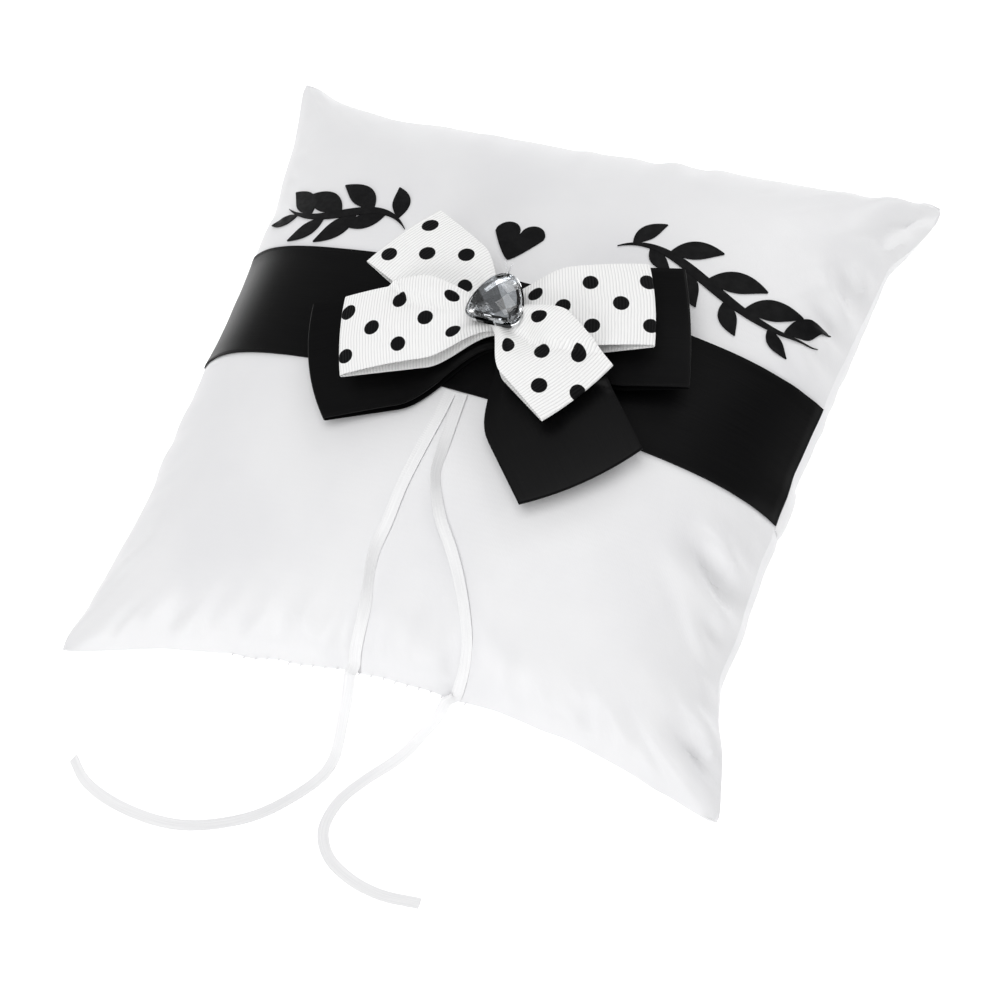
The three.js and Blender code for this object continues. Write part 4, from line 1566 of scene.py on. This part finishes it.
@dataclass
class HeightMap:
    """Height of whatever lies on the pillow so far, over a square of plan places."""

    low: float = -62.0
    high: float = 82.0
    step: float = 1.25
    heights: np.ndarray = field(init=False)

    def start(self, cushion: Cushion, band: FrontBand) -> None:
        """Start from the cushion and its band."""
        axis = np.arange(self.low, self.high, self.step)
        x, y = np.meshgrid(axis, axis, indexing="ij")
        s, t = cushion.share_at(x, y)
        surface = cushion.sample(cushion.front, s, t)[..., 2]
        self.heights = surface + (band.lift + band.thickness) * band.share(s, t)

    def _index(self, x: np.ndarray, y: np.ndarray) -> tuple[np.ndarray, np.ndarray]:
        """Fractional cell places, held inside the map."""
        top = self.heights.shape[0] - 1.001
        return np.clip((x - self.low) / self.step, 0, top), np.clip((y - self.low) / self.step, 0, top)

    def read(self, heights: np.ndarray, x: np.ndarray, y: np.ndarray) -> np.ndarray:
        """Read a map of heights at plan places."""
        return bilinear(heights, *self._index(x, y))

    def bridged(self, rounds: int) -> np.ndarray:
        """A smooth sheet that lies on everything without cutting into it."""
        sheet = self.heights.copy()
        for _ in range(rounds):
            sheet = np.maximum(blurred(sheet, 6), self.heights)
        return np.maximum(blurred(sheet, 3), self.heights)

    def cover(self, points: Grid, thickness: float) -> None:
        """Raise the map to the top of a laid piece."""
        fine = [points]
        fine.append((points[1:] + points[:-1]) / 2)
        fine.append((points[:, 1:] + points[:, :-1]) / 2)
        for grid in fine:
            i, j = self._index(grid[..., 0], grid[..., 1])
            for di in (0, 1):
                for dj in (0, 1):
                    cell = (i.astype(int) + di, j.astype(int) + dj)
                    np.maximum.at(self.heights, cell, grid[..., 2] + thickness)


@dataclass
class Bow:
    """Black satin loops under dotted grosgrain loops, gathered at the middle."""

    workshop: Workshop
    x: float = 8.0
    y: float = 8.0
    thickness: float = 0.3
    gap: float = 0.3
    root: float = 2.6
    fold: float = 0.8
    steps: int = 44
    rows: int = 30
    loops: tuple[Loop, ...] = (
        Loop("black_loop_left", 57, 203, 38, 2.2, 58.5, 3, 0, 3),
        Loop("black_loop_right", 51.3, 15.5, 38, 2.4, 59, 5.5, gather=0.22, spread=0.62),
        Loop("black_loop_lower", 53.5, -47, 37, 2, 58.5, -1, 0, 2),
        Loop("dotted_loop_upper_left", 42.6, 153, 25, 4.0, 67.0, -9.5, 3.0, gather=0.34, spread=0.44),
        Loop("dotted_loop_right", 42.6, 19, 26, 4.6, 67.5, 4, 6.0, gather=0.62, spread=0.4),
        Loop("dotted_loop_left", 46, 201, 25, 5.0, 67.0, -4, 1.0, gather=0.38, spread=0.42),
        Loop("dotted_loop_lower", 35, -32, 25, 5.0, 68.5, 0, 5.0, gather=0.4, dimple=3.6, spread=0.42),
    )

    def build(self, heights: HeightMap) -> None:
        """Lay every loop, the lowest first."""
        for loop in self.loops:
            self._lay(loop, heights)

    def _lay(self, loop: Loop, heights: HeightMap) -> None:
        """Make one loop over whatever lies there already."""
        plan, radius, across = self._plan(loop)
        sheet = heights.bridged(5)
        floor = heights.read(sheet, plan[..., 0], plan[..., 1]) + self.gap + self.thickness / 2
        rise = np.clip(radius / loop.reach, 0.0, 1.0)
        floor = np.maximum(floor, floor[0].mean() * (1 - rise) + loop.level * rise)
        gathered = 1 - smooth_step((radius - self.root) / (0.5 * loop.reach))
        pleats = 0.7 * gathered * np.cos(across * math.pi * 3.0)
        share = np.clip(radius / loop.reach, 0.0, 1.0)
        open_height = loop.loft * np.sin(math.pi * share**0.85) ** 0.8 * (1 - 0.15 * across**2)
        dimple = loop.dimple * np.exp(-((across / 0.42) ** 2)) * np.exp(-(((share - 0.34) / 0.2) ** 2))
        rest = self.fold * (0.75 + 0.25 * share)
        top = floor + rest + np.maximum(open_height - dimple, 0.0) + 0.6 * (pleats + 0.7 * gathered)
        lower = np.concatenate([plan, (floor + 0.15 * (pleats + 0.7 * gathered))[..., None]], axis=-1)
        upper = np.concatenate([plan, top[..., None]], axis=-1)
        turn = self._turn(lower[-1], upper[-1], loop)
        points = np.concatenate([lower, turn, upper[::-1]])
        lengths = np.linalg.norm(np.diff(points, axis=0), axis=-1)
        along = np.vstack([np.zeros((1, self.rows + 1)), np.cumsum(lengths, axis=0)])
        along = np.repeat(along.mean(axis=1, keepdims=True), self.rows + 1, axis=1) + loop.dot_shift
        v = np.broadcast_to(np.linspace(-loop.width / 2, loop.width / 2, self.rows + 1), along.shape)
        uv = np.stack([along, v], axis=-1)
        name = loop.node.replace("_loop", "_bow_loop")
        piece = shell_object(name, points, self.thickness, uv, under_shift=PAST_PRINT)
        self.workshop.settle(piece, loop.finish, loop.finish, [loop.node])
        heights.cover(upper, self.thickness)
        heights.cover(turn, self.thickness)

    def _plan(self, loop: Loop) -> tuple[Grid, np.ndarray, np.ndarray]:
        """Plan places of one ply, with each point's distance out and its share across."""
        share = np.linspace(0.0, 1.0, self.steps + 1)[:, None]
        across = np.linspace(1.0, -1.0, self.rows + 1)[None, :]
        tilt = math.tan(math.radians(loop.skew)) * loop.width / 2
        end = loop.reach - self.fold / 2 - loop.bulge * across**2 - tilt * across
        out = self.root + (end - self.root) * share
        opened = smooth_step((out - self.root) / (loop.spread * loop.reach))
        half = loop.width / 2 * (loop.gather + (1 - loop.gather) * opened)
        side = across * half
        angle = math.radians(loop.direction)
        x = self.x + out * math.cos(angle) - side * math.sin(angle)
        y = self.y + out * math.sin(angle) + side * math.cos(angle)
        return np.stack([x, y], axis=-1), out + 0.0 * across, across + 0.0 * out

    def _turn(self, low: np.ndarray, high: np.ndarray, loop: Loop) -> Grid:
        """The fold at the end of a loop, as a half turn from the lower ply to the upper."""
        angle = math.radians(loop.direction)
        outward = np.array([math.cos(angle), math.sin(angle), 0.0])
        middle, half = (low + high) / 2, (high - low) / 2
        depth = np.linalg.norm(half, axis=-1, keepdims=True)
        rows = []
        for turn in np.linspace(-math.pi / 2, math.pi / 2, 8)[1:-1]:
            rows.append(middle + half * math.sin(turn) + outward * depth * math.cos(turn))
        return np.array(rows)


# ---------------------------------------------------------------------------------------------------------------
# Gem
# ---------------------------------------------------------------------------------------------------------------


def heart_outline(width: float, segments: int) -> np.ndarray:
    """Plump heart outline with a shallow notch, its point towards +Y, as wide as asked."""
    t = np.linspace(0.0, 2 * math.pi, segments, endpoint=False)
    x = 15.7 * (np.sin(t) + 0.1 * np.sin(2 * t))
    y = 16.3 * np.cos(t) - 2.6 * np.cos(2 * t) - 0.7 * np.cos(3 * t)
    return np.stack([x, -y - 2.6], axis=-1) * width / 32


@dataclass
class HeartGem:
    """Heart-shaped cut stone in a foil back, sewn on through the bow with clear nylon."""

    workshop: Workshop
    x: float = 8.0
    y: float = 9.8
    width: float = 15.5
    pitch: float = 4.3
    dome: float = 3.2
    rim_share: float = 0.91
    girdle: float = 0.5
    pavilion: float = 1.1
    foil_margin: float = 0.35
    nylon_radius: float = 0.17

    def build(self, heights: HeightMap) -> None:
        """Make the gem, its foil, the thread under it and the nylon ends over it."""
        radius = self.width / 2
        reach = np.linspace(-radius, radius, 15)
        plan_x, plan_y = np.meshgrid(reach + self.x, reach + self.y, indexing="ij")
        tops = heights.read(heights.heights, plan_x, plan_y)
        floor = float(np.percentile(tops, 90)) - 0.5
        LOG.info("gem sits %.1f mm above the table", floor)
        foil = self._foil(floor)
        self.workshop.settle(foil, "silver_foil", "silver_foil", ["gem_foil"])
        gem = self._stone(floor + 0.6)
        self.workshop.settle(gem, "clear_gem", "clear_gem", ["heart_gem"])
        self._shank(floor)
        self._nylon(floor)

    def _cell_height(self, a: float, b: float, x: float, y: float) -> float:
        """Height of the flat facet over one square cell of the dome, whose low corner is a, b."""
        c, d = a + self.pitch, b + self.pitch
        fall = (self.dome - self.girdle) / (self.width / 2) ** 2
        return self.dome - fall * ((a + c) * x - a * c + (b + d) * y - b * d)

    def _stone(self, floor: float) -> bpy.types.Object:
        """Make the cut stone: a chequered crown, a narrow rim and a faceted back."""
        outline = heart_outline(self.width * self.rim_share, 72)
        turn = math.radians(45.0 + 9.0)
        spin = np.array([[math.cos(turn), math.sin(turn)], [-math.sin(turn), math.cos(turn)]])
        turned = outline @ spin.T
        work = bmesh.new()
        cells = int(self.width / self.pitch) + 1
        for i in range(-cells, cells):
            for j in range(-cells, cells):
                low = ((i + 0.5) * self.pitch, (j + 0.5) * self.pitch)
                face = self._clipped(turned, low)
                if len(face) < 3:
                    continue
                corners = [(x, y, self._cell_height(*low, x, y)) for x, y in face]
                work.faces.new([work.verts.new(corner) for corner in corners])
        bmesh.ops.remove_doubles(work, verts=work.verts, dist=0.02)
        rim = [edge for edge in work.edges if edge.is_boundary]
        heights = (self.girdle + 0.75, self.girdle, -self.pavilion + self.girdle)
        scales = (0.965 / self.rim_share, 1 / 0.965, 0.7)
        for scale, height in zip(scales, heights):
            grown = bmesh.ops.extrude_edge_only(work, edges=rim)["geom"]
            for vertex in (part for part in grown if isinstance(part, bmesh.types.BMVert)):
                vertex.co.x *= scale
                vertex.co.y *= scale
                vertex.co.z = height
            rim = [part for part in grown if isinstance(part, bmesh.types.BMEdge) and part.is_boundary]
        bmesh.ops.holes_fill(work, edges=rim, sides=0)
        bmesh.ops.recalc_face_normals(work, faces=work.faces)
        back = np.linalg.inv(spin)
        for vertex in work.verts:
            x, y = back @ np.array([vertex.co.x, vertex.co.y])
            vertex.co = Vector((x + self.x, y + self.y, vertex.co.z + self.pavilion + floor)) * MM
        mesh = bpy.data.meshes.new("heart_gem_stone")
        work.to_mesh(mesh)
        work.free()
        return linked("heart_gem_stone", mesh)

    def _clipped(self, outline: np.ndarray, low: tuple[float, float]) -> list[tuple[float, float]]:
        """Cut the outline down to one square cell."""
        face = [tuple(point) for point in outline]
        for axis in (0, 1):
            for limit, sign in ((low[axis], 1.0), (low[axis] + self.pitch, -1.0)):
                kept: list[tuple[float, float]] = []
                for first, second in zip(face, face[1:] + face[:1]):
                    a, b = sign * (first[axis] - limit), sign * (second[axis] - limit)
                    if a >= 0:
                        kept.append(first)
                    if (a >= 0) != (b >= 0):
                        share = a / (a - b)
                        kept.append(tuple(p + share * (q - p) for p, q in zip(first, second)))
                face = kept
        return face

    def _foil(self, floor: float) -> bpy.types.Object:
        """Make the shallow foil cup behind the stone."""
        outline = heart_outline(self.width + 2 * self.foil_margin, 48)
        rings = [(0.02, 0.4), (0.55, 0.4), (0.9, 0.42), (1.0, 1.7), (1.02, 1.65), (1.0, 0.1), (0.02, 0.0)]
        points = [
            (x * scale + self.x, y * scale + self.y, floor + height) for scale, height in rings for x, y in outline
        ]
        foil = mesh_object("gem_foil_back", np.array(points), ring_faces(len(rings), len(outline)))
        faces_out(foil)
        return foil

    def _shank(self, floor: float) -> None:
        """Make the wound thread that gathers the bow under the gem."""
        low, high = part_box("thread_shank")
        bottom, top = low.z / MM, min(high.z / MM, floor - 0.4)
        turns = int((top - bottom) / 0.55)
        angle = np.linspace(0.0, 2 * math.pi * turns, turns * 16)
        line = np.stack(
            [
                self.x + 1.5 * np.cos(angle),
                self.y + 1.5 * np.sin(angle),
                bottom + 0.3 + (top - bottom - 0.6) * angle / angle[-1],
            ],
            axis=-1,
        )
        thread = tube_object("bow_thread_winding", line, 0.3, 6)
        self.workshop.settle(thread, "sewing_thread", "sewing_thread", ["thread_shank"])

    def _nylon(self, floor: float) -> None:
        """Make the clear thread's two ends, standing out past the gem's point."""
        tip_y = self.y + (heart_outline(self.width, 48)[:, 1]).max() + 0.6
        knot = np.array([self.x - 0.3, tip_y, floor + 0.6])
        whiskers = []
        for end in ((-1.5, 2.4, 2.8), (0.9, 2.0, 3.0)):
            bend = knot + np.array([end[0] * 0.3, end[1] * 0.35, end[2] * 0.62])
            tip = knot + np.array(end)
            share = np.linspace(0.0, 1.0, 14)[:, None]
            whiskers.append(knot * (1 - share) ** 2 + 2 * bend * share * (1 - share) + tip * share**2)
        line = np.vstack([whiskers[0][::-1], whiskers[1][1:]])
        nylon = tube_object("nylon_thread_ends", line, self.nylon_radius)
        self.workshop.settle(nylon, "clear_nylon", "clear_nylon", ["nylon_tack"])


# ---------------------------------------------------------------------------------------------------------------
# Pressed motifs
# ---------------------------------------------------------------------------------------------------------------


@dataclass(frozen=True)
class Sprig:
    """A curved stem with leaves. Stem points are along X and above the band's upper edge."""

    node: str
    stem: tuple[tuple[float, float], ...]
    leaves: tuple[tuple[float, int, float], ...]


@dataclass
class PressedMotifs:
    """Leaf sprigs and a small heart, cut from black film and pressed on the front."""

    workshop: Workshop
    band_top: float = 26.0
    film: float = 0.16
    leaf_length: float = 17.0
    leaf_half_width: float = 3.6
    stem_half_width: float = 1.5
    heart: tuple[float, float, float] = (-2.0, 16.0, 15.0)
    sprigs: tuple[Sprig, ...] = (
        Sprig(
            "motif_sprig_left", ((-36, 11), (-50, 26), (-62, 5), (-79, 18)),
            (
                (0.1, -1, 0.75), (0.2, 1, 0.8), (0.32, -1, 0.95), (0.44, 1, 0.9),
                (0.56, -1, 1.0), (0.68, 1, 0.75), (0.8, -1, 0.85), (0.9, 1, 0.55),
            ),
        ),
        Sprig(
            "motif_sprig_right", ((26, 20), (42, 32), (62, 2), (86, 11)),
            (
                (0.08, 1, 0.7), (0.18, -1, 0.6), (0.28, 1, 0.9), (0.4, -1, 0.8), (0.5, 1, 1.0),
                (0.62, -1, 0.7), (0.7, 1, 0.95), (0.82, -1, 0.55), (0.88, 1, 0.75),
            ),
        ),
    )

    def build(self, cushion: Cushion) -> None:
        """Press every motif on the finished cushion."""
        motifs = {sprig.node: self._sprig_plates(sprig) for sprig in self.sprigs}
        motifs["motif_heart"] = [self._heart_plate()]
        for node, plates in motifs.items():
            piece = self._plates_object(node.replace("motif", "pressed"), plates, cushion)
            self.workshop.settle(piece, "pressed_black", "pressed_black", [node])

    def _stroke(self, line: np.ndarray, half_width: float, rows: int) -> Grid:
        """Plan places of a stroke with pointed ends."""
        tangent = directions(line)
        side = np.stack([-tangent[:, 1], tangent[:, 0]], axis=-1)
        share = np.linspace(0.0, 1.0, len(line))
        swell = half_width * (0.06 + 0.94 * np.sin(math.pi * share))
        across = np.linspace(-1.0, 1.0, rows + 1)
        return line[:, None] + side[:, None] * (swell[:, None] * across[None, :])[..., None]

    def _bezier(self, points: Sequence[np.ndarray], share: np.ndarray) -> np.ndarray:
        """Places on a Bezier curve of any degree."""
        level = [np.broadcast_to(np.asarray(point, dtype=float), (len(share), 2)) for point in points]
        blend = share[:, None]
        while len(level) > 1:
            level = [a * (1 - blend) + b * blend for a, b in zip(level, level[1:])]
        return level[0]

    def _sprig_plates(self, sprig: Sprig) -> list[Grid]:
        """Plan places of a sprig's stem and leaves."""
        stem_points = [np.array([x, self.band_top + above]) for x, above in sprig.stem]
        share = np.linspace(0.0, 1.0, 61)
        stem = self._bezier(stem_points, share)
        plates = [self._stroke(stem, self.stem_half_width, 4)]
        slope = np.gradient(stem, axis=0)
        for place, side, scale in sprig.leaves:
            root = np.array([np.interp(place, share, stem[:, k]) for k in (0, 1)])
            forward = np.array([np.interp(place, share, slope[:, k]) for k in (0, 1)])
            forward /= np.linalg.norm(forward)
            ends = [root]
            for degrees, reach in ((56.0, 0.5), (38.0, 1.0)):
                turn = math.radians(side * degrees)
                spin = np.array([[math.cos(turn), -math.sin(turn)], [math.sin(turn), math.cos(turn)]])
                ends.append(root + spin @ forward * reach * scale * self.leaf_length)
            leaf = self._bezier(ends, np.linspace(0.0, 1.0, 25))
            plates.append(self._stroke(leaf, scale * self.leaf_half_width, 6))
        return plates

    def _heart_plate(self) -> Grid:
        """Plan places of the small heart: two round lobes over a point."""
        x, above, width = self.heart
        share = 0.985 * np.sin(np.linspace(-math.pi / 2, math.pi / 2, 57))[:, None]
        across = np.linspace(0.0, 1.0, 17)[None, :]
        lobe = 4.0 * np.sqrt(np.maximum(0.0, 1 - (2 * np.abs(share) - 1) ** 2))
        point = -9.5 * (1 - np.abs(share) ** 1.3)
        plan_x = x + share * width / 2 + 0.0 * across
        plan_y = self.band_top + above + point + across * (lobe - point)
        return np.stack([plan_x, plan_y], axis=-1)

    def _plates_object(self, name: str, plates: Sequence[Grid], cushion: Cushion) -> bpy.types.Object:
        """Press flat plates on the cushion as one piece, the stem over its leaves."""
        points: list[np.ndarray] = []
        faces: list[Quad] = []
        for number, plate in enumerate(plates):
            lift = 0.26 if number == 0 else 0.2 + 0.004 * number
            flip = np.cross(plate[1, 0] - plate[0, 0], plate[0, 1] - plate[0, 0]) < 0
            grid = plate[:, ::-1] if flip else plate
            outer = cushion.above(grid[..., 0], grid[..., 1], lift + self.film)
            inner = cushion.above(grid[..., 0], grid[..., 1], lift - 0.1)
            start = sum(len(part) for part in points)
            faces += shell_faces(grid.shape[0] - 1, grid.shape[1] - 1, start)
            points += [outer.reshape(-1, 3), inner.reshape(-1, 3)]
        return mesh_object(name, np.concatenate(points), faces)


# ---------------------------------------------------------------------------------------------------------------
# Assembly
# ---------------------------------------------------------------------------------------------------------------


def main() -> None:
    """Build the whole pillow and its studio."""
    logging.basicConfig(level=logging.INFO, format="%(name)s %(message)s")
    StudioCamera().build()
    Studio().build()
    workshop = Workshop(Finishes())
    cushion = Cushion(workshop)
    band = FrontBand(workshop)
    cushion.shape(band.share)
    RingRibbons(workshop).build(cushion)
    cushion.build()
    ClosingStitches(workshop, cushion).build()
    band.build(cushion)
    HandStrap(workshop).build(cushion)
    heights = HeightMap()
    heights.start(cushion, band)
    Bow(workshop).build(heights)
    HeartGem(workshop).build(heights)
    PressedMotifs(workshop).build(cushion)


if __name__ == "__main__":
    main()
